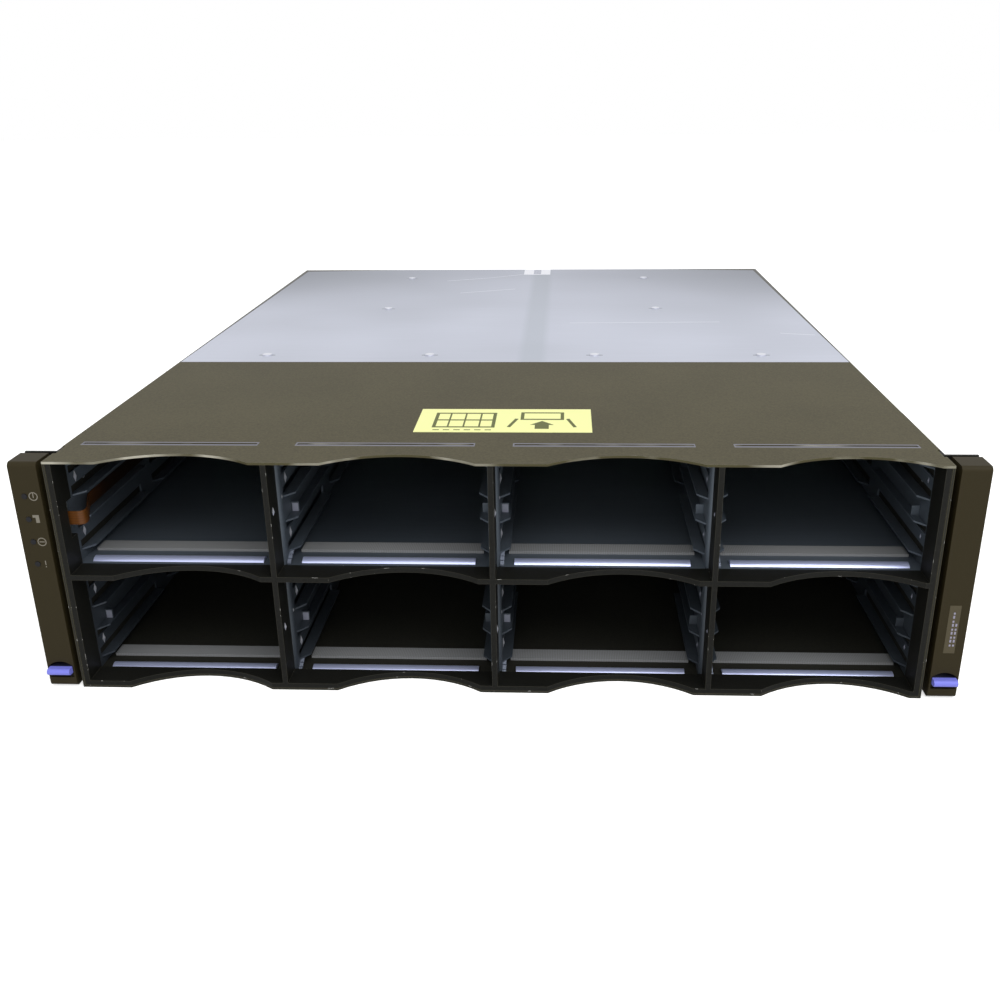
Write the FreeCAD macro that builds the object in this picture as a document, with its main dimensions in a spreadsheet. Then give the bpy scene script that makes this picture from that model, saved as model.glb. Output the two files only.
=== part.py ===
import FreeCAD, Part
import math
import os
from types import SimpleNamespace

import Sketcher

# Rack-mounted disk shelf enclosure, three rack units tall. Millimetres, +X to the right seen from
# the drive side, +Y from the drive side to the module side, +Z up. The origin is the centre of the
# chassis bottom face.

sizes = {
    # chassis
    "chassis_width": 447.0,
    "chassis_height": 129.5,
    "chassis_depth": 571.5,
    "pan_sheet": 1.2,
    "cover_sheet": 1.2,
    "pan_return": 12.0,
    "front_cover_length": 200.0,
    "cover_joint": 0.3,
    "cover_notch_start": 13.0,
    "cover_notch_length": 11.0,
    "cover_notch_depth": 1.5,
    "emboss_length": 92.0,
    "emboss_width": 2.5,
    "emboss_depth": 0.6,
    "emboss_setback": 29.0,
    # finger scoops in the front edges
    "scoop_width": 77.0,
    "scoop_rise": 13.0,
    "scoop_shift": 10.3,
    # front frame and drive bays
    "frame_depth": 15.0,
    "frame_wall": 2.8,
    "frame_fit": 0.2,
    "bay_pitch": 112.5,
    "upper_floor": 67.0,
    "bay_wall_end": 222.0,
    "partition_width": 6.0,
    "bay_sheet": 1.0,
    "shelf_sheet": 1.2,
    "shelf_flange": 6.0,
    # lanced drive guides, heights above each bay floor
    "guide_reach": 5.0,
    "guide_lead": 6.0,
    "guide_run": 84.0,
    "guide_start": 6.0,
    "guide_second_start": 108.0,
    "guide_low": 5.0,
    "guide_mid_low": 22.0,
    "guide_mid_high": 36.0,
    "guide_high": 53.0,
    "lance_window": 4.5,
    "stop_tab_height": 25.0,
    "stop_tab_size": 6.5,
    "stop_tab_reach": 4.0,
    "stop_tab_setback": 19.0,
    # strips on the bay floors
    "ground_strip_length": 92.0,
    "ground_strip_width": 7.0,
    "ground_strip_rise": 1.8,
    "ground_strip_setback": 17.5,
    "pad_length": 99.0,
    "pad_width": 10.0,
    "pad_thickness": 1.5,
    "pad_setback": 31.5,
    # midplane
    "board_setback": 224.0,
    "board_thickness": 2.4,
    "board_width": 436.0,
    "board_low_edge": 6.0,
    "board_high_edge": 122.0,
    "boss_height": 1.6,
    "boss_width": 8.0,
    "bracket_sheet": 1.2,
    "bracket_flange": 16.0,
    "board_window_width": 50.0,
    "board_window_height": 14.0,
    "bracket_window_width": 56.0,
    "bracket_window_height": 44.0,
    "bay_mid_height": 29.0,
    "drive_pitch": 30.0,
    "drive_plug_width": 42.0,
    "drive_plug_height": 7.0,
    "drive_plug_depth": 8.0,
    "plug_slot_width": 34.0,
    "plug_slot_height": 2.0,
    "module_plug_width": 40.0,
    "module_plug_height": 9.0,
    "module_plug_depth": 29.0,
    "module_plug_rise": 44.0,
    "plug_hole_margin": 2.0,
    # rear dividers and module shelf
    "divider_line": 110.0,
    "divider_flange": 12.0,
    "divider_sheet": 1.2,
    "divider_start": 244.0,
    "rear_inset": 2.0,
    "module_shelf_height": 64.15,
    "module_shelf_flange": 8.0,
    # slide-out modules
    "slide_gap": 0.3,
    "side_gap": 0.5,
    "module_start": 250.0,
    "module_sheet": 1.0,
    "faceplate_sheet": 1.5,
    "fan_size": 80.0,
    "fan_thickness": 25.0,
    "fan_duct_radius": 38.0,
    "fan_hub_radius": 15.0,
    "fan_tip_gap": 1.0,
    "fan_mount_pitch": 71.5,
    "fan_hole_radius": 2.15,
    "fan_top_gap": 3.5,
    "motor_thickness": 4.0,
    "strut_width": 5.0,
    "hub_depth": 17.0,
    "motor_shaft_radius": 1.5,
    "blade_span": 14.0,
    "blade_root_chord": 10.0,
    "blade_tip_chord": 18.0,
    "blade_tip_drop": 1.5,
    "blade_sheet": 1.0,
    "grille_slot": 5.0,
    "grille_pitch": 8.0,
    "grille_margin": 1.0,
    "intake_slot_length": 64.0,
    "inlet_flange_width": 62.0,
    "inlet_flange_height": 28.0,
    "inlet_flange_sheet": 2.0,
    "inlet_body_width": 54.0,
    "inlet_body_height": 24.0,
    "inlet_body_depth": 20.0,
    "inlet_height": 20.0,
    "socket_width": 24.5,
    "socket_height": 17.0,
    "socket_depth": 16.0,
    "socket_shift": 12.0,
    "socket_chamfer": 4.0,
    "pin_width": 2.0,
    "pin_height": 4.0,
    "pin_length": 13.0,
    "pin_pitch": 7.0,
    "pin_stagger": 2.0,
    "rocker_well_width": 14.0,
    "rocker_well_height": 20.0,
    "rocker_well_depth": 10.0,
    "rocker_shift": 17.0,
    "rocker_gap": 0.3,
    "rocker_end_gap": 0.5,
    "rocker_pivot_depth": 3.0,
    "rocker_pin_radius": 1.2,
    "rocker_pin_length": 1.5,
    "rocker_tilt": 7.0,
    "rocker_crown": 1.0,
    "rocker_lip": 3.0,
    "pivot_fit": 0.07,
    # levers on the modules
    "lever_thickness": 4.0,
    "lever_width": 8.0,
    "lever_stand_off": 2.0,
    "lever_pin_radius": 2.0,
    "lever_barrel_radius": 4.5,
    "lever_ear_sheet": 1.5,
    "lever_ear_gap": 0.3,
    "lever_edge_margin": 6.0,
    "supply_lever_foot": 12.0,
    "supply_lever_reach": 96.0,
    "port_lever_reach": 92.0,
    "port_lever_rise": 10.0,
    "lever_curl": 5.0,
    # ports on the modules
    "port_width": 14.8,
    "port_height": 11.0,
    "port_wall": 0.6,
    "port_depth": 46.0,
    "port_pitch": 18.0,
    "port_rise": 36.0,
    "port_proud": 2.0,
    "vent_width": 3.0,
    "vent_height": 14.0,
    "vent_pitch": 6.0,
    # rack flanges and end caps
    "rack_width": 482.6,
    "rack_hole_spacing": 465.1,
    "rack_hole_rise": 57.15,
    "rack_slot_width": 10.0,
    "rack_slot_height": 7.0,
    "flange_sheet": 1.5,
    "flange_leg": 70.0,
    "flange_foot": 16.0,
    "flange_setback": 19.0,
    "flange_screw_head": 3.9,
    "flange_screw_shank": 1.9,
    "flange_screw_fit": 0.1,
    "flange_screw_sink": 1.0,
    "flange_screw_inset": 18.0,
    "flange_screw_pitch": 44.0,
    "cap_width": 14.6,
    "cap_wall": 2.0,
    "cap_rear_gap": 0.3,
    "cap_low_edge": 0.5,
    "cap_high_edge": 129.0,
    "cap_corner": 2.5,
    "cap_pivot_height": 121.0,
    "cap_pivot_setback": 12.0,
    "cap_top_margin": 3.0,
    "cap_pin_radius": 2.0,
    "hinge_tab_thickness": 3.0,
    "hinge_tab_radius": 4.0,
    "recess_width": 12.8,
    "recess_low_edge": 6.0,
    "recess_high_edge": 12.9,
    "recess_depth": 11.0,
    "recess_arch_rise": 2.7,
    "latch_height": 3.6,
    "latch_low_edge": 8.9,
    "latch_proud": 4.0,
    "latch_neck": 9.5,
    "latch_pivot_setback": 14.5,
    "latch_pin_radius": 1.5,
    "latch_side_gap": 0.3,
    "tongue_height": 2.5,
    "tongue_width": 5.0,
    "tongue_overrun": 1.0,
    "lamp_pipe_radius": 1.4,
    "lamp_pipe_length": 5.3,
    "lamp_spacing": 12.5,
    "lamp_top_height": 111.0,
    "lamp_offset": 235.3,
    "lamp_proud": 0.3,
    "lamp_board_thickness": 1.2,
    "lamp_board_margin": 4.0,
    # indicator ribbon
    "ribbon_width": 7.5,
    "ribbon_thickness": 0.3,
    "ribbon_low_edge": 90.7,
    "ribbon_entry_setback": 9.0,
    "ribbon_bend": 3.0,
    "ribbon_sweep": 12.0,
    "ribbon_loop": 3.5,
    "ribbon_exit": 2.2,
    "ribbon_hole_height": 20.0,
    "ribbon_hole_length": 6.0,
    # fasteners
    "rivet_radius": 3.2,
    "rivet_head": 0.8,
    "rivet_shank_radius": 1.6,
    "bracket_rivet_setback": 219.0,
    "divider_rivet_first": 377.5,
    "divider_rivet_second": 521.0,
}
columns = 4
blades = 5
grille_rows = 9
ports = 4
vents = 8
lamps = 4

document = FreeCAD.newDocument("DiskShelf")


class Size:
    """A length together with the sheet expression that drives it."""

    def __init__(self, value, text=None):
        self.value = float(value)
        self.text = str(value) if text is None else text

    def __add__(self, other):
        other = as_size(other)
        return Size(self.value + other.value, f"({self.text} + {other.text})")

    def __sub__(self, other):
        other = as_size(other)
        return Size(self.value - other.value, f"({self.text} - {other.text})")

    def __mul__(self, other):
        other = as_size(other)
        return Size(self.value * other.value, f"({self.text} * {other.text})")

    def __truediv__(self, other):
        other = as_size(other)
        return Size(self.value / other.value, f"({self.text} / {other.text})")

    def __rsub__(self, other):
        return as_size(other) - self

    def __neg__(self):
        return self * -1

    __radd__ = __add__
    __rmul__ = __mul__


def as_size(number):
    return number if isinstance(number, Size) else Size(number)


def root_of(size):
    return Size(math.sqrt(size.value), f"sqrt({size.text})")


def make_sheet():
    sheet = document.addObject("Spreadsheet::Sheet", "Sizes")
    for row, (name, value) in enumerate(sizes.items(), start=1):
        sheet.set(f"A{row}", name)
        sheet.set(f"B{row}", str(value))
        sheet.setAlias(f"B{row}", name)
    document.recompute()
    return SimpleNamespace(**{name: Size(value, f"Sizes.{name}") for name, value in sizes.items()})


dim = make_sheet()

# shared places, all worked out from the sheet
front = -dim.chassis_depth / 2
rear = dim.chassis_depth / 2
half_width = dim.chassis_width / 2
cover_underside = dim.chassis_height - dim.cover_sheet
pan_inside = half_width - dim.pan_sheet
liner_face = pan_inside - dim.bay_sheet
floors = {"lower": dim.pan_sheet, "upper": dim.upper_floor}
guide_heights = (dim.guide_low, dim.guide_mid_low, dim.guide_mid_high, dim.guide_high)
scoop_radius = (dim.scoop_width * dim.scoop_width / 4 + dim.scoop_rise * dim.scoop_rise) / (
    2 * dim.scoop_rise
)
sides = (("left", -1), ("right", 1))

plane_roles = {"top": "XY_Plane", "front": "XZ_Plane", "side": "YZ_Plane"}
plane_normals = {"top": 1, "front": -1, "side": 1}
bodies = []


def bind(target, path, size):
    target.setExpression(path, as_size(size).text)


def new_body(name, x=0, y=0, z=0, tilt=0):
    """A part design body, which is one sub-part, with its place and its tilt about X on the sheet."""
    body = document.addObject("PartDesign::Body", name)
    body.Label = name
    if tilt:
        body.Placement.Rotation = FreeCAD.Rotation(FreeCAD.Vector(1, 0, 0), as_size(tilt).value)
        bind(body, "Placement.Rotation.Angle", tilt)
    for axis, size in zip("xyz", (x, y, z)):
        bind(body, f"Placement.Base.{axis}", size)
    bodies.append(body)
    return body


def column_centre(column):
    return dim.bay_pitch * (column + 0.5 - columns / 2)


def column_sides(column, wall, outer_face):
    """The left and right faces of one drive column between walls of the given thickness."""
    left = -outer_face if column == 0 else dim.bay_pitch * (column - columns / 2) + wall / 2
    last = column == columns - 1
    right = outer_face if last else dim.bay_pitch * (column + 1 - columns / 2) - wall / 2
    return left, right


def box_loop(u0, v0, u1, v1):
    return [(u0, v0), (u1, v0), (u1, v1), (u0, v1)]


def centred_loop(u, v, width, height):
    return box_loop(u - width / 2, v - height / 2, u + width / 2, v + height / 2)


def new_sketch(body, plane, level, loops=(), circles=(), paths=()):
    """A fully constrained sketch on a plane across the body's own origin, moved along its normal.

    A loop is a list of (u, v) corners. A corner with a third entry ends an arc of that radius,
    which turns left for a positive radius and right for a negative one. A path is the same, open.
    """
    sketch = body.newObject("Sketcher::SketchObject", f"{body.Name}_sketch")
    role = plane_roles[plane]
    base = next(item for item in body.Origin.OriginFeatures if item.Role == role)
    sketch.AttachmentSupport = [(base, "")]
    sketch.MapMode = "FlatFace"
    bind(sketch, "AttachmentOffset.Base.z", as_size(level) * plane_normals[plane])
    geometry = []
    constraints = []
    drivers = []

    def drive(kind, *where, size):
        size = as_size(size)
        drivers.append((len(constraints), size))
        constraints.append(Sketcher.Constraint(kind, *where, size.value))

    for loop, closed in [(loop, True) for loop in loops] + [(path, False) for path in paths]:
        corners = [(as_size(corner[0]), as_size(corner[1])) for corner in loop]
        edges = []
        for index in range(0 if closed else 1, len(loop)):
            start, end = corners[index - 1], corners[index]
            edge = len(geometry)
            begin_at, end_at = 1, 2
            if len(loop[index]) == 3:
                radius = as_size(loop[index][2])
                geometry.append(arc_between(start, end, radius.value))
                if radius.value < 0:
                    radius, begin_at, end_at = -radius, 2, 1
                drive("Radius", edge, size=radius)
            else:
                geometry.append(Part.LineSegment(flat_point(start), flat_point(end)))
            drive("DistanceX", -1, 1, edge, end_at, size=end[0])
            drive("DistanceY", -1, 1, edge, end_at, size=end[1])
            edges.append((edge, begin_at, end_at))
        for before, after in zip(edges, edges[1:] + edges[:1] if closed else edges[1:]):
            constraints.append(Sketcher.Constraint("Coincident", before[0], before[2], after[0], after[1]))
        if not closed:
            drive("DistanceX", -1, 1, edges[0][0], edges[0][1], size=corners[0][0])
            drive("DistanceY", -1, 1, edges[0][0], edges[0][1], size=corners[0][1])
    for u, v, radius in circles:
        edge = len(geometry)
        centre = flat_point((as_size(u), as_size(v)))
        geometry.append(Part.Circle(centre, FreeCAD.Vector(0, 0, 1), as_size(radius).value))
        drive("DistanceX", -1, 1, edge, 3, size=u)
        drive("DistanceY", -1, 1, edge, 3, size=v)
        drive("Radius", edge, size=radius)
    sketch.addGeometry(geometry)
    sketch.addConstraint(constraints)
    for index, size in drivers:
        sketch.setExpression(f"Constraints[{index}]", size.text)
    return sketch


def flat_point(corner):
    return FreeCAD.Vector(corner[0].value, corner[1].value, 0)


def arc_between(start, end, radius):
    """The arc under half a turn from start to end, turning left for a positive radius."""
    a, b = flat_point(start), flat_point(end)
    chord = b - a
    height = math.sqrt(max(radius * radius - chord.Length * chord.Length / 4, 0))
    across = FreeCAD.Vector(-chord.y, chord.x, 0).normalize()
    centre = (a + b) / 2 + across * math.copysign(height, radius)
    first, last = (a, b) if radius > 0 else (b, a)
    begin = math.atan2(first.y - centre.y, first.x - centre.x)
    finish = math.atan2(last.y - centre.y, last.x - centre.x)
    if finish < begin:
        finish += 2 * math.pi
    circle = Part.Circle(centre, FreeCAD.Vector(0, 0, 1), abs(radius))
    return Part.ArcOfCircle(circle, begin, finish)


def add_feature(body, kind, sketch, plane, length, toward):
    feature = body.newObject(f"PartDesign::{kind}", f"{body.Name}_{kind.lower()}")
    feature.Profile = sketch
    bind(feature, "Length", length)
    along_normal = toward * plane_normals[plane] > 0
    feature.Reversed = along_normal if kind == "Pocket" else not along_normal
    sketch.Visibility = False
    body.Tip = feature
    return feature


def pad(body, plane, level, length, toward=1, loops=(), circles=()):
    """Material from a sketch at level, towards + or - along the plane's axis in the part's frame."""
    return add_feature(body, "Pad", new_sketch(body, plane, level, loops, circles), plane, length, toward)


def cut(body, plane, level, length, toward=1, loops=(), circles=()):
    """A pocket from a sketch at level, towards + or - along the plane's axis in the part's frame."""
    sketch = new_sketch(body, plane, level, loops, circles)
    return add_feature(body, "Pocket", sketch, plane, length, toward)


def scoops():
    """The four circles that cut the finger scoops into a front edge."""
    level = front - scoop_radius + dim.scoop_rise
    return [(column_centre(column) + dim.scoop_shift, level, scoop_radius) for column in range(columns)]


def rounded_slot(u, v, length, width):
    radius = width / 2
    left, right = u - length / 2 + radius, u + length / 2 - radius
    top, bottom = v + radius, v - radius
    return [
        (right, bottom),
        (right + radius, v, radius),
        (right, top, radius),
        (left, top),
        (left - radius, v, radius),
        (left, bottom, radius),
    ]


# ---- chassis ----


def make_base_pan():
    pan = new_body("base_pan")
    lip = cover_underside - dim.pan_sheet
    reach = pan_inside - dim.pan_return
    right_side = [
        (half_width, 0),
        (half_width, cover_underside),
        (reach, cover_underside),
        (reach, lip),
        (pan_inside, lip),
        (pan_inside, dim.pan_sheet),
    ]
    left_side = [(-u, v) for u, v in reversed(right_side)]
    pad(pan, "front", front, dim.chassis_depth, loops=[right_side + left_side])
    cut(pan, "top", dim.pan_sheet, dim.pan_sheet, toward=-1, circles=scoops())
    behind_frame = front + dim.frame_depth
    reliefs = [box_loop(reach * side, front, pan_inside * side, behind_frame) for _, side in sides]
    cut(pan, "top", cover_underside, dim.pan_sheet, toward=-1, loops=reliefs)
    cut(pan, "side", -half_width, dim.pan_sheet, loops=[ribbon_hole()])
    for _, side in sides:
        holes = [(y, z, dim.flange_screw_shank + dim.flange_screw_fit) for y, z in flange_screw_places()]
        cut(pan, "side", half_width * side, dim.pan_sheet, toward=-side, circles=holes)


def make_top_covers():
    cover = new_body("top_cover_front")
    joint = front + dim.front_cover_length
    notch_start = front + dim.cover_notch_start
    notch_end = notch_start + dim.cover_notch_length
    notch_face = half_width - dim.cover_notch_depth
    right_side = [
        (half_width, front),
        (half_width, notch_start),
        (notch_face, notch_start),
        (notch_face, notch_end),
        (half_width, notch_end),
        (half_width, joint),
    ]
    left_side = [(-u, v) for u, v in reversed(right_side)]
    pad(cover, "top", cover_underside, dim.cover_sheet, loops=[right_side + left_side])
    cut(cover, "top", dim.chassis_height, dim.cover_sheet, toward=-1, circles=scoops())
    embosses = [
        rounded_slot(column_centre(column), front + dim.emboss_setback, dim.emboss_length, dim.emboss_width)
        for column in range(columns)
    ]
    cut(cover, "top", dim.chassis_height, dim.emboss_depth, toward=-1, loops=embosses)

    cover = new_body("top_cover_rear")
    plate = box_loop(-half_width, joint + dim.cover_joint, half_width, rear)
    pad(cover, "top", cover_underside, dim.cover_sheet, loops=[plate])
    cut(cover, "top", dim.chassis_height, dim.cover_sheet, toward=-1, circles=rivet_holes())


def make_front_frame():
    frame = new_body("front_frame")
    half = pan_inside - dim.frame_fit
    rail = half - dim.frame_wall
    low = dim.pan_sheet
    cell_floor = low + dim.frame_wall
    cell_top = dim.upper_floor - dim.frame_wall
    comb = [(-half, low), (half, low), (half, cover_underside)]
    cells = []
    for column in reversed(range(columns)):
        left, right = column_sides(column, dim.frame_wall, rail)
        comb += [(right, cover_underside), (right, dim.upper_floor)]
        comb += [(left, dim.upper_floor), (left, cover_underside)]
        cells.append(box_loop(left, cell_floor, right, cell_top))
    comb.append((-half, cover_underside))
    pad(frame, "front", front, dim.frame_depth, loops=[comb] + cells)
    cut(frame, "top", dim.upper_floor, dim.upper_floor, toward=-1, circles=scoops())
    cut(frame, "side", -half, dim.frame_wall, loops=[ribbon_hole()])


def ribbon_hole():
    middle = dim.ribbon_low_edge + dim.ribbon_width / 2
    half_height = dim.ribbon_hole_height / 2
    start = front + dim.ribbon_entry_setback
    return box_loop(start, middle - half_height, start + dim.ribbon_hole_length, middle + half_height)


# ---- drive bays ----

bay_start = front + dim.frame_depth
bay_end = front + dim.bay_wall_end
bay_length = bay_end - bay_start


def make_mid_shelves():
    for column in range(columns):
        left, right = column_sides(column, dim.partition_width, liner_face)
        shelf = new_body(f"mid_shelf_{column + 1}", left, bay_start, dim.upper_floor)
        width = right - left
        skin = -dim.shelf_sheet
        flange = skin - dim.shelf_flange
        wall = dim.bay_sheet
        channel = [
            (0, 0),
            (0, flange),
            (wall, flange),
            (wall, skin),
            (width - wall, skin),
            (width - wall, flange),
            (width, flange),
            (width, 0),
        ]
        pad(shelf, "front", 0, bay_length, loops=[channel])


def guide_plan(wall_face, side):
    """Both lanced ledges of one guide, each with a slanted lead-in at its front corner."""
    ledges = []
    for start in (dim.guide_start, dim.guide_second_start):
        tip = wall_face + dim.guide_reach * side
        end = start + dim.guide_run
        ledges.append([(wall_face, start), (tip, start + dim.guide_lead), (tip, end), (wall_face, end)])
    return ledges


def lance_windows(index, ledge):
    """The windows that one guide's ledges were bent out of, above a low guide and below a high one."""
    low = ledge + dim.bay_sheet if index % 2 == 0 else ledge - dim.lance_window
    return [
        box_loop(start, low, start + dim.guide_run, low + dim.lance_window)
        for start in (dim.guide_start, dim.guide_second_start)
    ]


def add_guides(wall, outer, thickness, toward, plans):
    """Windows through a bay wall of the given thickness, and the ledges beside them."""
    for floor in floors.values():
        for index, height in enumerate(guide_heights):
            ledge = floor + height - dim.pan_sheet
            cut(wall, "side", outer, thickness, toward=toward, loops=lance_windows(index, ledge))
            pad(wall, "top", ledge, dim.bay_sheet, loops=plans)


def stop_tab(floor, wall_face, side, base):
    tip = wall_face + dim.stop_tab_reach * side
    middle = floor + dim.stop_tab_height - base
    half = dim.stop_tab_size / 2
    return box_loop(wall_face, middle - half, tip, middle + half)


def make_partitions():
    """Each partition is one sheet folded back on itself, with guides lanced out of both faces."""
    base = dim.pan_sheet
    for number in range(1, columns):
        x = dim.bay_pitch * (number - columns / 2)
        wall = new_body(f"partition_{number}", x, bay_start, base)
        outer = dim.partition_width / 2
        inner = outer - dim.bay_sheet
        hairpin = [
            (outer, bay_length),
            (inner, bay_length),
            (inner, outer),
            (0, dim.bay_sheet, -inner),
            (-inner, outer, -inner),
            (-inner, bay_length),
            (-outer, bay_length),
            (-outer, outer),
            (0, 0, outer),
            (outer, outer, outer),
        ]
        pad(wall, "top", 0, cover_underside - base, loops=[hairpin])
        ledges = guide_plan(outer, 1) + guide_plan(-outer, -1)
        add_guides(wall, outer, dim.partition_width, -1, ledges)
        # a notch at the top of the rear edge clears the midplane bracket's flange
        top = cover_underside - base
        start = bracket_flange_start - dim.slide_gap - bay_start
        notch = box_loop(start, top - dim.bracket_sheet, bay_length, top)
        cut(wall, "side", outer, dim.partition_width, toward=-1, loops=[notch])
        tabs = [
            stop_tab(floor, outer * side, side, base) for floor in floors.values() for side in (-1, 1)
        ]
        pad(wall, "front", dim.stop_tab_setback, dim.bay_sheet, loops=tabs)


def make_side_liners():
    base = dim.pan_sheet
    for name, side in sides:
        liner = new_body(f"side_liner_{name}", pan_inside * side, bay_start, base)
        inner = -dim.bay_sheet * side
        sheet = box_loop(0, 0, bay_length, cover_underside - dim.pan_sheet - base)
        pad(liner, "side", 0, dim.bay_sheet, toward=-side, loops=[sheet])
        add_guides(liner, 0, dim.bay_sheet, -side, guide_plan(inner, -side))
        # the indicator ribbon runs where the upper left stop tab would be
        free = [floor for row, floor in floors.items() if (name, row) != ("left", "upper")]
        tabs = [stop_tab(floor, inner, -side, base) for floor in free]
        pad(liner, "front", dim.stop_tab_setback, dim.bay_sheet, loops=tabs)


def make_floor_strips():
    strips = new_body("grounding_strips")
    pads = new_body("gasket_pads")
    half_chord = dim.ground_strip_width / 2
    crown = (half_chord * half_chord + dim.ground_strip_rise * dim.ground_strip_rise) / (
        2 * dim.ground_strip_rise
    )
    for column in range(columns):
        centre = column_centre(column)
        strip_start = front + dim.ground_strip_setback
        strip_end = strip_start + dim.ground_strip_width
        pad_start = front + dim.pad_setback
        domes = [[(strip_end, floor), (strip_start, floor, crown)] for floor in floors.values()]
        blocks = [
            box_loop(pad_start, floor, pad_start + dim.pad_width, floor + dim.pad_thickness)
            for floor in floors.values()
        ]
        length = dim.ground_strip_length
        pad(strips, "side", centre - length / 2, length, loops=domes)
        pad(pads, "side", centre - dim.pad_length / 2, dim.pad_length, loops=blocks)


# ---- midplane ----

board_front = front + dim.board_setback
board_rear = board_front + dim.board_thickness
web_front = board_rear + dim.boss_height
web_rear = web_front + dim.bracket_sheet
bracket_flange_start = web_rear - dim.bracket_flange


def bay_windows(width, height):
    return [
        centred_loop(column_centre(column), floor + dim.bay_mid_height, width, height)
        for floor in floors.values()
        for column in range(columns)
    ]


def make_midplane():
    board = new_body("midplane_board")
    half = dim.board_width / 2
    outline = box_loop(-half, dim.board_low_edge, half, dim.board_high_edge)
    openings = bay_windows(dim.board_window_width, dim.board_window_height)
    pad(board, "front", board_front, dim.board_thickness, loops=[outline] + openings)

    plugs = new_body("drive_connectors")
    for centre in [column_centre(column) for column in range(columns)]:
        for floor in floors.values():
            shells = []
            for drive in (-1, 1):
                middle = floor + dim.bay_mid_height + dim.drive_pitch / 2 * drive
                shells.append(centred_loop(centre, middle, dim.drive_plug_width, dim.drive_plug_height))
                shells.append(centred_loop(centre, middle, dim.plug_slot_width, dim.plug_slot_height))
            pad(plugs, "front", board_front, dim.drive_plug_depth, toward=-1, loops=shells)

    headers = new_body("module_connectors")
    blocks = [
        centred_loop(x, z, dim.module_plug_width, dim.module_plug_height) for x, z in module_plug_places()
    ]
    pad(headers, "front", board_rear, dim.module_plug_depth, loops=blocks)


def module_plug_places():
    """Supply modules plug in at the outer columns, port modules at the two inner ones."""
    lower = dim.pan_sheet + dim.module_plug_rise
    upper = dim.upper_floor + dim.module_plug_rise
    outer, inner = column_centre(columns - 1), column_centre(columns // 2)
    return [(-outer, lower), (outer, lower), (-inner, lower), (inner, upper)]


def make_midplane_bracket():
    bracket = new_body("midplane_bracket")
    flange = dim.bracket_flange
    low, high = dim.pan_sheet, cover_underside
    skin = dim.bracket_sheet
    channel = [
        (web_front, low),
        (web_front + flange, low),
        (web_front + flange, low + skin),
        (web_rear, low + skin),
        (web_rear, high),
        (bracket_flange_start, high),
        (bracket_flange_start, high - skin),
        (web_front, high - skin),
    ]
    pad(bracket, "side", -pan_inside, pan_inside * 2, loops=[channel])
    windows = bay_windows(dim.bracket_window_width, dim.bracket_window_height)
    cut(bracket, "front", web_front, dim.bracket_sheet, loops=windows)
    clear = pan_inside - dim.pan_return - dim.slide_gap
    ends = [
        box_loop(clear * side, bracket_flange_start, pan_inside * side, web_rear) for _, side in sides
    ]
    cut(bracket, "top", high, skin, toward=-1, loops=ends)
    holes = rivet_holes()[:columns]
    cut(bracket, "top", high, skin, toward=-1, circles=holes)
    rib_lines = [dim.bay_pitch * number for number in (-1, 0, 1)]
    lower_middle = dim.pan_sheet + dim.bay_mid_height
    upper_middle = dim.upper_floor + dim.bay_mid_height
    rib_heights = (lower_middle, (lower_middle + upper_middle) / 2, upper_middle)
    width = dim.boss_width
    bosses = [centred_loop(x, z, width, width) for x in rib_lines for z in rib_heights]
    pad(bracket, "front", web_front, dim.boss_height, toward=-1, loops=bosses)


# ---- rear of the chassis ----

divider_inner = dim.divider_line + dim.divider_flange / 2
divider_outer = divider_inner + dim.divider_sheet
divider_front = front + dim.divider_start
divider_rear = rear - dim.rear_inset
divider_length = divider_rear - divider_front


def make_rear_dividers():
    for name, side in sides:
        divider = new_body(f"rear_divider_{name}")
        low, high = dim.pan_sheet, cover_underside
        skin = dim.divider_sheet
        web, back = divider_inner * side, divider_outer * side
        tip = (divider_inner - dim.divider_flange) * side
        channel = [
            (back, low),
            (back, high),
            (tip, high),
            (tip, high - skin),
            (web, high - skin),
            (web, low + skin),
            (tip, low + skin),
            (tip, low),
        ]
        pad(divider, "front", divider_front, divider_length, loops=[channel])
        places = (dim.divider_rivet_first, dim.divider_rivet_second)
        radius = dim.rivet_shank_radius + dim.pivot_fit
        holes = [(dim.divider_line * side, front + place, radius) for place in places]
        cut(divider, "top", high, skin, toward=-1, circles=holes)


def make_module_shelf():
    shelf = new_body("module_shelf", z=dim.module_shelf_height)
    wall, skin, flange = dim.bay_sheet, dim.shelf_sheet, dim.module_shelf_flange
    right_side = [
        (divider_inner, skin),
        (divider_inner, -flange),
        (divider_inner - wall, -flange),
        (divider_inner - wall, 0),
    ]
    left_side = [(-u, v) for u, v in reversed(right_side)]
    pad(shelf, "front", divider_front, divider_length, loops=[right_side + left_side])


def rivet_holes():
    """Bracket rivets first, one over each column, then the divider rivets."""
    radius = dim.rivet_shank_radius + dim.pivot_fit
    return [(x, y, radius) for x, y in rivet_places()]


def rivet_places():
    places = [(column_centre(column), front + dim.bracket_rivet_setback) for column in range(columns)]
    for _, side in sides:
        for setback in (dim.divider_rivet_first, dim.divider_rivet_second):
            places.append((dim.divider_line * side, front + setback))
    return places


def make_cover_rivets():
    rivets = new_body("cover_rivets")
    heads = [(x, y, dim.rivet_radius) for x, y in rivet_places()]
    shanks = [(x, y, dim.rivet_shank_radius) for x, y in rivet_places()]
    pad(rivets, "top", dim.chassis_height, dim.rivet_head, circles=heads)
    pad(rivets, "top", dim.chassis_height, dim.cover_sheet + dim.bracket_sheet, toward=-1, circles=shanks)


# ---- supply modules, each in a frame at the middle of its bay, its face at Y = 0 ----

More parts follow.
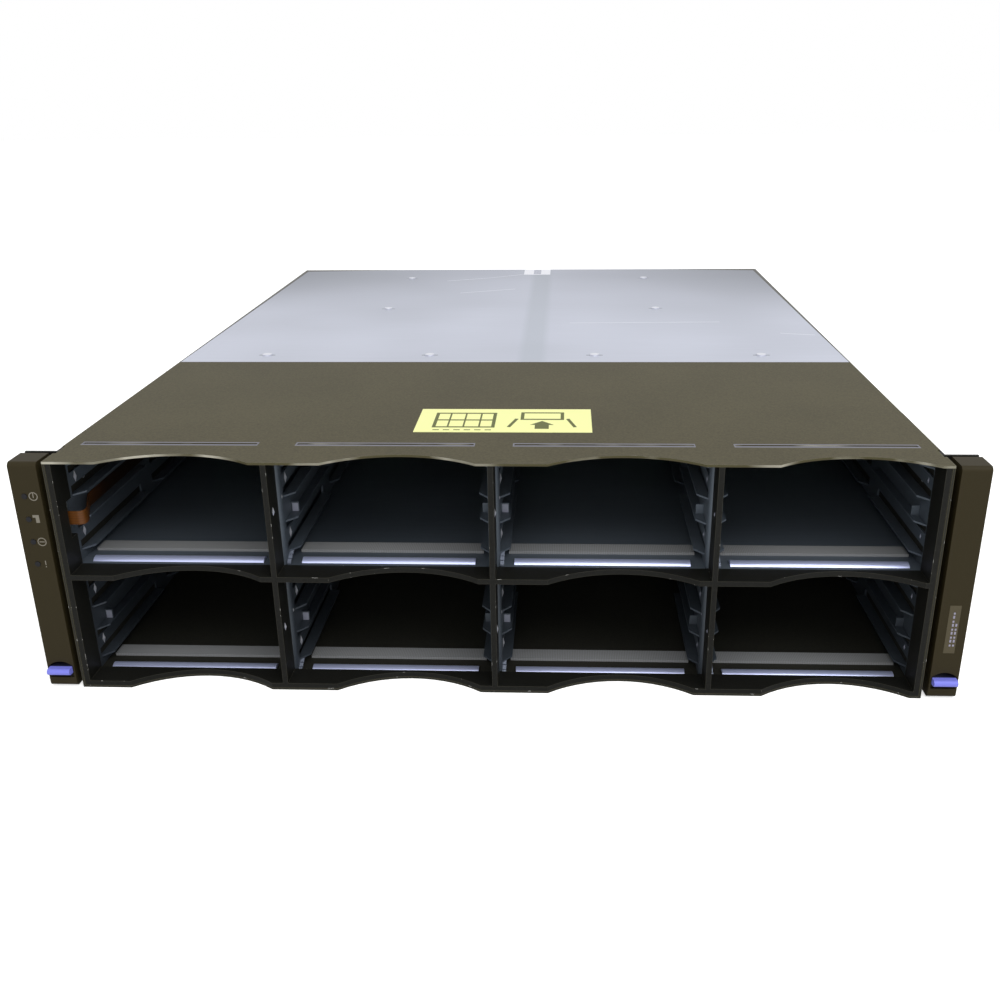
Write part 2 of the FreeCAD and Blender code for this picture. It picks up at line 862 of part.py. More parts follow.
module_length = dim.chassis_depth - dim.module_start
supply_width = pan_inside - divider_outer - dim.side_gap * 2
supply_height = cover_underside - dim.pan_sheet - dim.side_gap - dim.pan_sheet - dim.slide_gap
supply_base = dim.pan_sheet + dim.slide_gap
supply_middle = (pan_inside + divider_outer) / 2
fan_centre = supply_height - dim.fan_top_gap - dim.fan_size / 2
supply_lever_line = supply_width / 2 - dim.lever_edge_margin
lever_pivot_out = dim.lever_stand_off + dim.lever_barrel_radius


def lever_ear(out, line, radius):
    """An ear from the face out past a pivot, with clipped corners, as (out of the face, along it)."""
    clip = radius / 2
    return [
        (0, line - radius),
        (out + clip, line - radius),
        (out + radius, line - clip),
        (out + radius, line + clip),
        (out + clip, line + radius),
        (0, line + radius),
    ]


def turned(loop):
    """A loop of straight edges with its two axes swapped."""
    return [(v, u) for u, v in loop]


def hollow_case(case, half, height):
    """An open-backed sheet box with a closed front wall."""
    start = -module_length
    skin = dim.module_sheet
    length = module_length - dim.faceplate_sheet
    pad(case, "front", start, length, loops=[box_loop(-half, 0, half, height)])
    hollow = box_loop(-half + skin, skin, half - skin, height - skin)
    cut(case, "front", -dim.faceplate_sheet, length - skin, toward=-1, loops=[hollow])


def make_supply_module(name, side):
    def local_body(label, x=0, y=0, z=0, tilt=0):
        return new_body(f"{label}_{name}", supply_middle * side + x, rear + y, supply_base + z, tilt)

    half = supply_width / 2
    plate = dim.faceplate_sheet
    case = local_body("supply_case")
    hollow_case(case, half, supply_height)
    plug_x = (column_centre(columns - 1) - supply_middle) * side
    plug_z = dim.pan_sheet + dim.module_plug_rise - supply_base
    plug_width = dim.module_plug_width + dim.plug_hole_margin
    plug_height = dim.module_plug_height + dim.plug_hole_margin
    plug_hole = centred_loop(plug_x, plug_z, plug_width, plug_height)
    air_holes = [
        centred_loop(0, fan_centre + dim.grille_pitch * 2 * step, dim.intake_slot_length, dim.grille_pitch)
        for step in (-1, 0, 1)
    ]
    cut(case, "front", -module_length, dim.module_sheet, loops=[plug_hole] + air_holes)

    face = local_body("supply_faceplate")
    pad(face, "front", -plate, plate, loops=[box_loop(-half, 0, half, supply_height)])
    grille_radius = dim.fan_duct_radius - dim.grille_margin
    slots = []
    for row in range(grille_rows):
        step = row - grille_rows // 2
        rise = dim.grille_pitch * abs(step) + dim.grille_slot / 2
        reach = root_of(grille_radius * grille_radius - rise * rise)
        middle = fan_centre + dim.grille_pitch * step
        slots.append(centred_loop(0, middle, reach * 2, dim.grille_slot))
    inlet_hole = centred_loop(
        0, dim.inlet_height, dim.inlet_body_width + dim.frame_fit, dim.inlet_body_height + dim.frame_fit
    )
    cut(face, "front", 0, plate, toward=-1, loops=slots + [inlet_hole], circles=fan_screw_holes())
    foot = dim.supply_lever_foot
    ear = lever_ear(lever_pivot_out, foot, dim.lever_barrel_radius)
    hole = (lever_pivot_out, foot, dim.lever_pin_radius + dim.pivot_fit)
    for hand in (-1, 1):
        inner = dim.lever_width / 2 + dim.lever_ear_gap
        level = supply_lever_line * side + inner * hand
        pad(face, "side", level, dim.lever_ear_sheet, toward=hand, loops=[ear], circles=[hole])

    fan = local_body("fan_frame")
    depth = dim.fan_thickness
    square = centred_loop(0, fan_centre, dim.fan_size, dim.fan_size)
    duct = (0, fan_centre, dim.fan_duct_radius)
    openings = [duct] + fan_screw_holes()
    pad(fan, "front", -plate, depth, toward=-1, loops=[square], circles=openings)
    back = -plate - depth
    strut = dim.strut_width
    for span, rise in ((dim.fan_size, strut), (strut, dim.fan_size)):
        pad(fan, "front", back, dim.motor_thickness, loops=[centred_loop(0, fan_centre, span, rise)])
    pad(fan, "front", back, dim.motor_thickness, circles=[(0, fan_centre, dim.fan_hub_radius)])
    bore = (0, fan_centre, dim.motor_shaft_radius + dim.pivot_fit)
    cut(fan, "front", back, dim.motor_thickness, circles=[bore])

    rotor = local_body("fan_rotor", y=back + dim.motor_thickness + dim.side_gap, z=fan_centre)
    make_rotor(rotor)

    inlet = local_body("power_inlet")
    flange_face = dim.inlet_flange_sheet
    flange = centred_loop(0, dim.inlet_height, dim.inlet_flange_width, dim.inlet_flange_height)
    block = centred_loop(0, dim.inlet_height, dim.inlet_body_width, dim.inlet_body_height)
    pad(inlet, "front", 0, flange_face, loops=[flange])
    pad(inlet, "front", 0, dim.inlet_body_depth, toward=-1, loops=[block])
    cut(inlet, "front", flange_face, dim.socket_depth, toward=-1, loops=[socket_outline()])
    well = centred_loop(
        dim.rocker_shift, dim.inlet_height, dim.rocker_well_width, dim.rocker_well_height
    )
    cut(inlet, "front", flange_face, dim.rocker_well_depth, toward=-1, loops=[well])
    pivot_out = flange_face - dim.rocker_pivot_depth
    reach = dim.rocker_well_width / 2 + dim.rocker_pin_length
    bore = (pivot_out, dim.inlet_height, dim.rocker_pin_radius + dim.pivot_fit)
    cut(inlet, "side", dim.rocker_shift - reach, reach * 2, circles=[bore])

    pins = local_body("inlet_pins")
    floor = flange_face - dim.socket_depth
    blades_in_socket = [
        centred_loop(
            dim.pin_pitch * step - dim.socket_shift,
            dim.inlet_height + (dim.pin_stagger if step == 0 else 0),
            dim.pin_width,
            dim.pin_height,
        )
        for step in (-1, 0, 1)
    ]
    pad(pins, "front", floor, dim.pin_length, loops=blades_in_socket)

    # the switch rests off, rocked to one end of its travel
    rocker = local_body("power_rocker", dim.rocker_shift, pivot_out, dim.inlet_height, dim.rocker_tilt)
    make_rocker(rocker)

    lever = local_body("supply_lever", supply_lever_line * side, lever_pivot_out, foot)
    bar = lever_outline(dim.supply_lever_reach, 1)
    width = dim.lever_width
    pad(lever, "side", -width / 2, width, loops=[bar])
    pad(lever, "side", -width / 2, width, circles=[(0, 0, dim.lever_barrel_radius)])
    pad(lever, "side", -lever_pin_reach, lever_pin_reach * 2, circles=[(0, 0, dim.lever_pin_radius)])


lever_pin_reach = dim.lever_width / 2 + dim.lever_ear_gap + dim.lever_ear_sheet


def fan_screw_holes():
    offset = dim.fan_mount_pitch / 2
    return [(offset * u, fan_centre + offset * v, dim.fan_hole_radius) for u in (-1, 1) for v in (-1, 1)]


def socket_outline():
    """A plug socket opening with its two upper corners cut away."""
    half, rise = dim.socket_width / 2, dim.socket_height / 2
    chamfer = dim.socket_chamfer
    x, z = -dim.socket_shift, dim.inlet_height
    return [
        (x - half, z - rise),
        (x + half, z - rise),
        (x + half, z + rise - chamfer),
        (x + half - chamfer, z + rise),
        (x - half + chamfer, z + rise),
        (x - half, z + rise - chamfer),
    ]


def lever_outline(length, hand):
    """A flat bar along the faceplate with its tip curled out, as (out of the face, along it)."""
    inner = -dim.lever_barrel_radius
    outer = inner + dim.lever_thickness
    tip = outer + dim.lever_curl
    reach, curl = length * hand, (length - dim.lever_thickness) * hand
    return [(inner, 0), (inner, reach), (tip, reach), (tip, curl), (outer, curl), (outer, 0)]


def make_rotor(rotor):
    """Hub, shaft and blades; each blade is lofted from a steep root to a flatter, wider tip."""
    pad(rotor, "front", 0, dim.hub_depth, circles=[(0, 0, dim.fan_hub_radius)])
    shaft_length = dim.motor_thickness
    pad(rotor, "front", 0, shaft_length, toward=-1, circles=[(0, 0, dim.motor_shaft_radius)])
    tip_radius = dim.fan_duct_radius - dim.fan_tip_gap
    root_half, tip_half = dim.blade_root_chord / 2, dim.blade_tip_chord / 2
    skin = dim.blade_sheet
    low = (dim.hub_depth - dim.blade_span) / 2
    high = low + dim.blade_span
    root = [(low, -root_half), (low + skin, -root_half), (high, root_half), (high - skin, root_half)]
    tip_low, tip_high = low + dim.blade_tip_drop, high - dim.blade_tip_drop
    tip = [(tip_low, -tip_half), (tip_low + skin, -tip_half)]
    tip += [(tip_high, tip_half), (tip_high - skin, tip_half)]
    loft = rotor.newObject("PartDesign::AdditiveLoft", f"{rotor.Name}_blade")
    tip_level = root_of(tip_radius * tip_radius - tip_half * tip_half) - skin
    loft.Profile = new_sketch(rotor, "side", dim.fan_hub_radius - skin * 2, [root])
    loft.Sections = [new_sketch(rotor, "side", tip_level, [tip])]
    loft.Ruled = True
    rotor.Tip = loft
    ring = rotor.newObject("PartDesign::PolarPattern", f"{rotor.Name}_ring")
    ring.Originals = [loft]
    axis = next(item for item in rotor.Origin.OriginFeatures if item.Role == "Y_Axis")
    ring.Axis = (axis, [""])
    ring.Angle = 360
    ring.Occurrences = blades
    rotor.Tip = ring


def make_rocker(rocker):
    half = dim.rocker_well_height / 2 - dim.rocker_end_gap
    width = dim.rocker_well_width - dim.rocker_gap * 2
    crest, dip = dim.rocker_pivot_depth + dim.rocker_crown, dim.rocker_pivot_depth - dim.rocker_crown
    keel = -crest
    shoulder = crest - dim.rocker_lip
    profile = [(keel, -half / 2), (shoulder, -half), (crest, -half), (dip, 0), (crest, half)]
    profile += [(shoulder, half), (keel, half / 2)]
    pad(rocker, "side", -width / 2, width, loops=[profile])
    reach = width / 2 + dim.rocker_pin_length
    pad(rocker, "side", -reach, reach * 2, circles=[(0, 0, dim.rocker_pin_radius)])


# ---- port modules, each in a frame at the middle of its bay, its face at Y = 0 ----

port_module_half = divider_inner - dim.bay_sheet - dim.side_gap
port_module_height = dim.module_shelf_height - (dim.pan_sheet + dim.divider_sheet + dim.slide_gap) - (
    dim.side_gap
)
port_bases = {
    "lower": dim.pan_sheet + dim.divider_sheet + dim.slide_gap,
    "upper": dim.module_shelf_height + dim.shelf_sheet + dim.slide_gap,
}


def make_port_module(row, plug_x):
    base = port_bases[row]

    def local_body(label, x=0, y=0, z=0):
        return new_body(f"{label}_{row}", x, rear + y, base + z)

    half, height, plate = port_module_half, port_module_height, dim.faceplate_sheet
    case = local_body("port_case")
    hollow_case(case, half, height)
    plug_z = floors[row] + dim.module_plug_rise - base
    plug_width = dim.module_plug_width + dim.plug_hole_margin
    plug_height = dim.module_plug_height + dim.plug_hole_margin
    plug_hole = centred_loop(plug_x, plug_z, plug_width, plug_height)
    cut(case, "front", -module_length, dim.module_sheet, loops=[plug_hole])

    face = local_body("port_faceplate")
    pad(face, "front", -plate, plate, loops=[box_loop(-half, 0, half, height)])
    port_lines = [dim.port_pitch * (number - (ports - 1) / 2) for number in range(ports)]
    fit = dim.frame_fit
    holes = [
        centred_loop(x, dim.port_rise, dim.port_width + fit, dim.port_height + fit) for x in port_lines
    ]
    cut(face, "front", 0, plate, toward=-1, loops=holes)
    first_vent = dim.port_pitch * ports / 2 + dim.vent_pitch
    for side in (-1, 1):
        lines = [(first_vent + dim.vent_pitch * number) * side for number in range(vents)]
        slots = [centred_loop(x, dim.port_rise, dim.vent_width, dim.vent_height) for x in lines]
        cut(face, "front", 0, plate, toward=-1, loops=slots)

    cages = local_body("port_cages")
    shells = []
    for x in port_lines:
        wall = dim.port_wall * 2
        shells.append(centred_loop(x, dim.port_rise, dim.port_width, dim.port_height))
        shells.append(centred_loop(x, dim.port_rise, dim.port_width - wall, dim.port_height - wall))
    pad(cages, "front", dim.port_proud, dim.port_depth, toward=-1, loops=shells)

    pivot_x = half - dim.lever_edge_margin - dim.lever_barrel_radius
    rise = dim.port_lever_rise
    width = dim.lever_width
    radius = dim.lever_barrel_radius
    for name, side in sides:
        line = pivot_x * side
        ear = turned(lever_ear(lever_pivot_out, line, radius))
        hole = (line, lever_pivot_out, dim.lever_pin_radius + dim.pivot_fit)
        for hand in (-1, 1):
            level = rise + (width / 2 + dim.lever_ear_gap) * hand
            pad(face, "top", level, dim.lever_ear_sheet, toward=hand, loops=[ear], circles=[hole])
        lever = new_body(
            f"port_lever_{row}_{name}", line, rear + lever_pivot_out, base + rise
        )
        bar = turned(lever_outline(dim.port_lever_reach, -side))
        pad(lever, "top", -width / 2, width, loops=[bar])
        pad(lever, "top", -width / 2, width, circles=[(0, 0, radius)])
        pad(lever, "top", -lever_pin_reach, lever_pin_reach * 2, circles=[(0, 0, dim.lever_pin_radius)])


# ---- rack flanges, end caps and latches ----

flange_front = front + dim.flange_setback
flange_rear = flange_front + dim.flange_sheet
rack_half = dim.rack_width / 2
cap_centre = rack_half - dim.cap_width / 2
cap_pivot = front + dim.cap_pivot_setback
cap_rear = flange_front - dim.cap_rear_gap
cap_inner_half = dim.cap_width / 2 - dim.cap_wall
latch_pivot = front + dim.latch_pivot_setback
latch_middle = dim.latch_low_edge + dim.latch_height / 2
mid_height = dim.chassis_height / 2


def flange_screw_places():
    """Three countersunk screws per side, as (Y, Z)."""
    near = flange_rear + dim.flange_screw_inset
    far = flange_rear + dim.flange_leg - dim.flange_screw_inset
    pitch = dim.flange_screw_pitch
    return [(near, mid_height - pitch), (near, mid_height + pitch), (far, mid_height)]


def make_rack_flange(name, side):
    flange = new_body(f"rack_flange_{name}")
    leg_face = half_width + dim.flange_sheet
    leg_end = flange_rear + dim.flange_leg
    angle = [
        (half_width * side, flange_front),
        (rack_half * side, flange_front),
        (rack_half * side, flange_rear),
        (leg_face * side, flange_rear),
        (leg_face * side, leg_end),
        (half_width * side, leg_end),
    ]
    pad(flange, "top", dim.pan_sheet, cover_underside - dim.pan_sheet, loops=[angle])
    slot_line = dim.rack_hole_spacing / 2 * side
    openings = [
        rounded_slot(
            slot_line, mid_height + dim.rack_hole_rise / 2 * step, dim.rack_slot_width, dim.rack_slot_height
        )
        for step in (-1, 1)
    ]
    # the front leg stops above the pan, so that the latch's tongue passes under it
    openings.append(box_loop(leg_face * side, dim.pan_sheet, rack_half * side, dim.flange_foot))
    cut(flange, "front", flange_front, dim.flange_sheet, loops=openings)
    nose = dim.hinge_tab_radius
    pivot, height = cap_pivot, dim.cap_pivot_height
    tab = [
        (pivot, height - nose, nose),
        (flange_front, height - nose),
        (flange_front, height),
        (pivot + nose, height),
        (pivot, height + nose, nose),
        (pivot - nose, height, nose),
    ]
    hole = (pivot, height, dim.cap_pin_radius + dim.pivot_fit)
    level = cap_centre * side - dim.hinge_tab_thickness / 2
    pad(flange, "side", level, dim.hinge_tab_thickness, loops=[tab], circles=[hole])
    fit = dim.flange_screw_fit
    heads = [(y, z, dim.flange_screw_head + fit) for y, z in flange_screw_places()]
    shanks = [(y, z, dim.flange_screw_shank + fit) for y, z in flange_screw_places()]
    cut(flange, "side", leg_face * side, dim.flange_screw_sink, toward=-side, circles=heads)
    cut(flange, "side", leg_face * side, dim.flange_sheet, toward=-side, circles=shanks)


def make_flange_screws():
    screws = new_body("flange_screws")
    for _, side in sides:
        face = (half_width + dim.flange_sheet) * side
        heads = [(y, z, dim.flange_screw_head) for y, z in flange_screw_places()]
        shanks = [(y, z, dim.flange_screw_shank) for y, z in flange_screw_places()]
        pad(screws, "side", face, dim.flange_screw_sink, toward=-side, circles=heads)
        pad(screws, "side", face, dim.flange_sheet + dim.pan_sheet, toward=-side, circles=shanks)


def lamp_heights():
    return [dim.lamp_top_height - dim.lamp_spacing * number for number in range(lamps)]


def finger_recess(line):
    """The latch's slot, arched above the tab for a fingertip."""
    half, rise = dim.recess_width / 2, dim.recess_arch_rise
    arch = (half * half + rise * rise) / (rise * 2)
    return [
        (line - half, dim.recess_low_edge),
        (line + half, dim.recess_low_edge),
        (line + half, dim.recess_high_edge),
        (line - half, dim.recess_high_edge, arch),
    ]


def make_end_cap(name, side):
    cap = new_body(f"end_cap_{name}")
    low, high, corner = dim.cap_low_edge, dim.cap_high_edge, dim.cap_corner
    outer = cap_centre * side - dim.cap_width / 2
    profile = [
        (front + corner, low, corner),
        (cap_rear, low),
        (cap_rear, dim.cap_pivot_height),
        (cap_pivot + dim.cap_top_margin, high),
        (front + corner, high),
        (front, high - corner, corner),
        (front, low + corner),
    ]
    pad(cap, "side", outer, dim.cap_width, loops=[profile])
    wall = dim.cap_wall
    hollow = box_loop(
        cap_centre * side - cap_inner_half, low + wall, cap_centre * side + cap_inner_half, high - wall
    )
    cut(cap, "front", cap_rear, cap_rear - front - wall, toward=-1, loops=[hollow])
    cut(cap, "front", front, dim.recess_depth, loops=[finger_recess(cap_centre * side)])
    bore = (latch_pivot, latch_middle, dim.latch_pin_radius + dim.pivot_fit)
    cut(cap, "side", outer, dim.cap_width, circles=[bore])
    pin = (cap_pivot, dim.cap_pivot_height, dim.cap_pin_radius)
    pad(cap, "side", outer + wall, cap_inner_half * 2, circles=[pin])
    if name == "left":
        line = -dim.lamp_offset
        holes = [(line, z, dim.lamp_pipe_radius + dim.flange_screw_fit) for z in lamp_heights()]
        cut(cap, "front", front, wall, circles=holes)


def make_latch(name, side):
    latch = new_body(f"latch_{name}", cap_centre * side, latch_pivot, latch_middle)
    half_height = dim.latch_height / 2
    tab_front = -dim.latch_pivot_setback - dim.latch_proud
    neck = dim.latch_neck - dim.latch_pivot_setback
    tab_half = dim.recess_width / 2 - dim.latch_side_gap
    thumb = [
        (tab_front + half_height, -half_height, half_height),
        (neck, -half_height),
        (neck, half_height),
        (tab_front + half_height, half_height),
        (tab_front, 0, half_height),
    ]
    pad(latch, "side", -tab_half, tab_half * 2, loops=[thumb])
    body_half = cap_inner_half - dim.latch_side_gap
    pad(latch, "side", -body_half, body_half * 2, loops=[box_loop(neck, -half_height, 0, half_height)])
    pad(latch, "side", -body_half, body_half * 2, circles=[(0, 0, half_height)])
    tongue_end = (
        dim.flange_setback + dim.flange_sheet + dim.tongue_overrun - dim.latch_pivot_setback
    )
    tongue = box_loop(0, -dim.tongue_height / 2, tongue_end, dim.tongue_height / 2)
    pad(latch, "side", -dim.tongue_width / 2, dim.tongue_width, loops=[tongue])
    pin_half = dim.cap_width / 2 - dim.latch_side_gap
    pad(latch, "side", -pin_half, pin_half * 2, circles=[(0, 0, dim.latch_pin_radius)])


def make_indicators():
    pipes = new_body("light_pipes")
    line = -dim.lamp_offset
    rods = [(line, z, dim.lamp_pipe_radius) for z in lamp_heights()]
    pad(pipes, "front", front - dim.lamp_proud, dim.lamp_pipe_length, circles=rods)

    board = new_body("indicator_board")
    board_half = cap_inner_half - dim.latch_side_gap
    low = lamp_heights()[-1] - dim.lamp_board_margin
    high = dim.lamp_top_height + dim.lamp_board_margin
    level = front - dim.lamp_proud + dim.lamp_pipe_length + dim.slide_gap
    outline = box_loop(-cap_centre - board_half, low, -cap_centre + board_half, high)
    pad(board, "front", level, dim.lamp_board_thickness, loops=[outline])


def make_ribbon():
    """A flat flex that comes in through the left wall, loops out and runs back along the liner."""
    ribbon = new_body("indicator_ribbon")
    half = dim.ribbon_thickness / 2
    entry = front + dim.ribbon_entry_setback + dim.ribbon_hole_length / 2
    start = -half_width - dim.ribbon_exit
    run = -liner_face + half
    bend = dim.ribbon_bend
    crest = -pan_inside + dim.frame_wall + dim.ribbon_loop + bend
    wide = dim.ribbon_sweep
    # the run back to the liner leans by the angle of a 5, 12, 13 triangle
    sway, rise = wide / 13, wide * 5 / 13
    slant = (crest - run - sway * 2) * 13 / 5
    first = (crest, entry + bend)
    second = (crest - sway, first[1] + rise)
    third = (second[0] - slant * 5 / 13, second[1] + slant * 12 / 13)
    fourth = (run, third[1] + rise)
    path = [
        (start, entry),
        (crest - bend, entry),
        first + (bend,),
        second + (wide,),
        third,
        fourth + (-wide,),
        (run, bay_end),
    ]
    low, high = dim.ribbon_low_edge, dim.ribbon_low_edge + dim.ribbon_width
    section = box_loop(entry - half, low, entry + half, high)
    pipe = ribbon.newObject("PartDesign::AdditivePipe", "ribbon_sweep")
    pipe.Profile = new_sketch(ribbon, "side", start, [section])
    pipe.Spine = new_sketch(ribbon, "top", low, paths=[path])
    ribbon.Tip = pipe


def build():
    make_base_pan()
    make_top_covers()
    make_front_frame()
    make_mid_shelves()
    make_partitions()
    make_side_liners()
    make_floor_strips()
    make_midplane()
    make_midplane_bracket()
    make_rear_dividers()
    make_module_shelf()
    make_cover_rivets()
    for name, side in sides:
        make_supply_module(name, side)
        make_rack_flange(name, side)
        make_end_cap(name, side)
        make_latch(name, side)
    make_flange_screws()
    inner = column_centre(columns // 2)
    make_port_module("lower", -inner)
    make_port_module("upper", inner)
    make_indicators()
    make_ribbon()


def check_and_export():
    document.recompute()
    for item in document.Objects:
        if {"Invalid", "Error"} & set(item.State):
            raise RuntimeError(f"{item.Label} did not recompute: {item.State}")
    os.makedirs("parts", exist_ok=True)
    for body in bodies:
        shape = body.Shape
        if shape.isNull() or not shape.isValid() or not shape.Solids:
            raise RuntimeError(f"{body.Label} has no valid solid")
        shape.exportStep(f"parts/{body.Label}.step")
    print(f"{len(bodies)} sub-parts written")


build()
check_and_export()
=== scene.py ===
import math

import bpy
from mathutils import Matrix, Vector


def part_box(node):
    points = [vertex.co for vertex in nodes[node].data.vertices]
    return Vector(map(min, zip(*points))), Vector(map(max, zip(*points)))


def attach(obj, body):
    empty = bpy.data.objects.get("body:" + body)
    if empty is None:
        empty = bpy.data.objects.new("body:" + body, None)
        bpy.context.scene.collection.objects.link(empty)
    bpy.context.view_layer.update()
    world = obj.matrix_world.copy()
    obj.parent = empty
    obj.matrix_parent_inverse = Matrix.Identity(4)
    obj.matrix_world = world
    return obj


# Disk shelf enclosure, three rack units tall, with open drive bays.
# Everything is in metres; mm turns millimetres into them.

mm = 0.001

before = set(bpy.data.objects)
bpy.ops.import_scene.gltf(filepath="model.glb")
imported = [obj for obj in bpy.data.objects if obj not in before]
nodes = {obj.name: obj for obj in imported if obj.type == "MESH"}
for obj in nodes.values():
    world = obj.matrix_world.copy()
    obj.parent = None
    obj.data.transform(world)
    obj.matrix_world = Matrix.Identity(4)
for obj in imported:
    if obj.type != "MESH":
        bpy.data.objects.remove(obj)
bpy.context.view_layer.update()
print("frame loaded:", len(nodes), "CAD nodes")


def span(node):
    low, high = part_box(node)
    return Vector(low), Vector(high)


def middle(node):
    low, high = span(node)
    return (low + high) / 2


panLow, panHigh = span("base_pan")
frontFace, rearFace = panLow.y, panHigh.y
coverTop = span("top_cover_front")[1].z
coverJoint = span("top_cover_rear")[0].y
bayPitch = middle("partition_2").x - middle("partition_1").x
partitionLines = [middle(f"partition_{number}").x for number in (1, 2, 3)]
bayFloors = {"lower": span("side_liner_left")[0].z, "upper": span("mid_shelf_1")[1].z}


def srgb(text):
    def channel(pair):
        value = int(pair, 16) / 255
        return value / 12.92 if value <= 0.04045 else ((value + 0.055) / 1.055) ** 2.4

    return tuple(channel(text[i : i + 2]) for i in (1, 3, 5)) + (1.0,)


def grain(size):
    # noise, wave or brick scale for a feature of this many metres in object space
    return 1 / size


def addNode(tree, kind, settings=None, links=None):
    # a setting is a property of the node, the value of an input or, for a ramp, its stops
    node = tree.nodes.new(kind)
    for name, value in (settings or {}).items():
        if name == "stops":
            elements = node.color_ramp.elements
            while len(elements) < len(value):
                elements.new(0.5)
            for element, (position, colour) in zip(elements, value):
                element.position, element.color = position, srgb(colour)
        elif isinstance(name, str) and hasattr(node, name):
            setattr(node, name, value)
        else:
            node.inputs[name].default_value = value
    for name, socket in (links or {}).items():
        tree.links.new(socket, node.inputs[name])
    return node


def newMaterial(name, colour, roughness, metallic=0.0, specular=0.5):
    # a colour or roughness that a pattern is linked over stays behind it as the pattern's average
    material = bpy.data.materials.new(name)
    material.use_nodes = True
    shader = material.node_tree.nodes["Principled BSDF"]
    shader.inputs["Base Color"].default_value = srgb(colour)
    shader.inputs["Roughness"].default_value = roughness
    shader.inputs["Metallic"].default_value = metallic
    shader.inputs["Specular IOR Level"].default_value = specular
    return material, material.node_tree, shader


def objectSpace(tree, stretch=(1, 1, 1)):
    place = addNode(tree, "ShaderNodeTexCoord")
    return addNode(tree, "ShaderNodeMapping", {"Scale": stretch}, {"Vector": place.outputs["Object"]})


# how far a rounded edge turns the surface, as the cosine where the mask starts and where it is full
edgeTurn = {"start": 0.98, "full": 0.86, "samples": 6}


def edgeMask(tree, radius):
    # one along edges that are rounded to this radius, and nought on flats
    d = edgeTurn
    rounded = addNode(tree, "ShaderNodeBevel", {"samples": d["samples"], "Radius": radius})
    flat = addNode(tree, "ShaderNodeNewGeometry")
    turn = addNode(
        tree,
        "ShaderNodeVectorMath",
        {"operation": "DOT_PRODUCT"},
        {0: rounded.outputs["Normal"], 1: flat.outputs["Normal"]},
    )
    return addNode(
        tree,
        "ShaderNodeMapRange",
        {"From Min": d["start"], "From Max": d["full"]},
        {"Value": turn.outputs["Value"]},
    )


# zinc coated sheet steel, a bluish satin skin with broad soft clouds and a faint rolling grain along X
zincFinish = {
    "light": "#c4c8d6",
    "dark": "#b7bbc9",
    "roughness": 0.46,
    "metallic": 0.4,
    "cloud": 130 * mm,
    "grainLength": 60 * mm,
    "grainWidth": 1.6 * mm,  # coarser than the real grain, which would not show
    "grainShare": 0.2,
    "darkAt": 0.3,
    "lightAt": 0.65,
}


def zincSheet(name, light, dark, roughness, metallic):
    d = zincFinish
    material, tree, shader = newMaterial(name, light, roughness, metallic)
    cloud = addNode(
        tree,
        "ShaderNodeTexNoise",
        {"Scale": grain(d["cloud"]), "Detail": 1.0},
        {"Vector": objectSpace(tree).outputs["Vector"]},
    )
    along = d["grainWidth"] / d["grainLength"]
    rolling = addNode(
        tree,
        "ShaderNodeTexNoise",
        {"Scale": grain(d["grainWidth"]), "Detail": 2.0},
        {"Vector": objectSpace(tree, (along, 1, 1)).outputs["Vector"]},
    )
    both = addNode(
        tree,
        "ShaderNodeMix",
        {"data_type": "FLOAT", "Factor": d["grainShare"]},
        {"A": cloud.outputs["Fac"], "B": rolling.outputs["Fac"]},
    )
    tone = addNode(
        tree,
        "ShaderNodeValToRGB",
        {"stops": [(d["darkAt"], dark), (d["lightAt"], light)]},
        {"Fac": both.outputs["Result"]},
    )
    tree.links.new(tone.outputs["Color"], shader.inputs["Base Color"])
    return material, tree, shader, tone


def brightZinc():
    d = zincFinish
    return zincSheet("zinc coated steel, bright", d["light"], d["dark"], d["roughness"], d["metallic"])[0]


# the rear cover's zinc: a painted dark reflection as a streak down its middle, a painted dark reflection
# growing into its rear corners, and a painted dark reflection along its side edges, wider towards the rear,
# and in its rear corners
coverZincFinish = {
    "light": "#c6cad8",
    "dark": "#b9bdca",
    "streakMiddle": 14 * mm,
    "streakHalf": 11 * mm,
    "streak": "#adb4bf",
    "streakShare": 0.6,
    "cornerReflection": "#848893",
    "cornerReflectionReach": 260 * mm,
    "cornerReflectionInside": 0.3,
    "rimFront": 0.8 * mm,
    "rimRear": 3.6 * mm,
    "rearBandStart": 128 * mm,
    "rearBand": 9 * mm,
    "darkening": "#3c3a33",
}


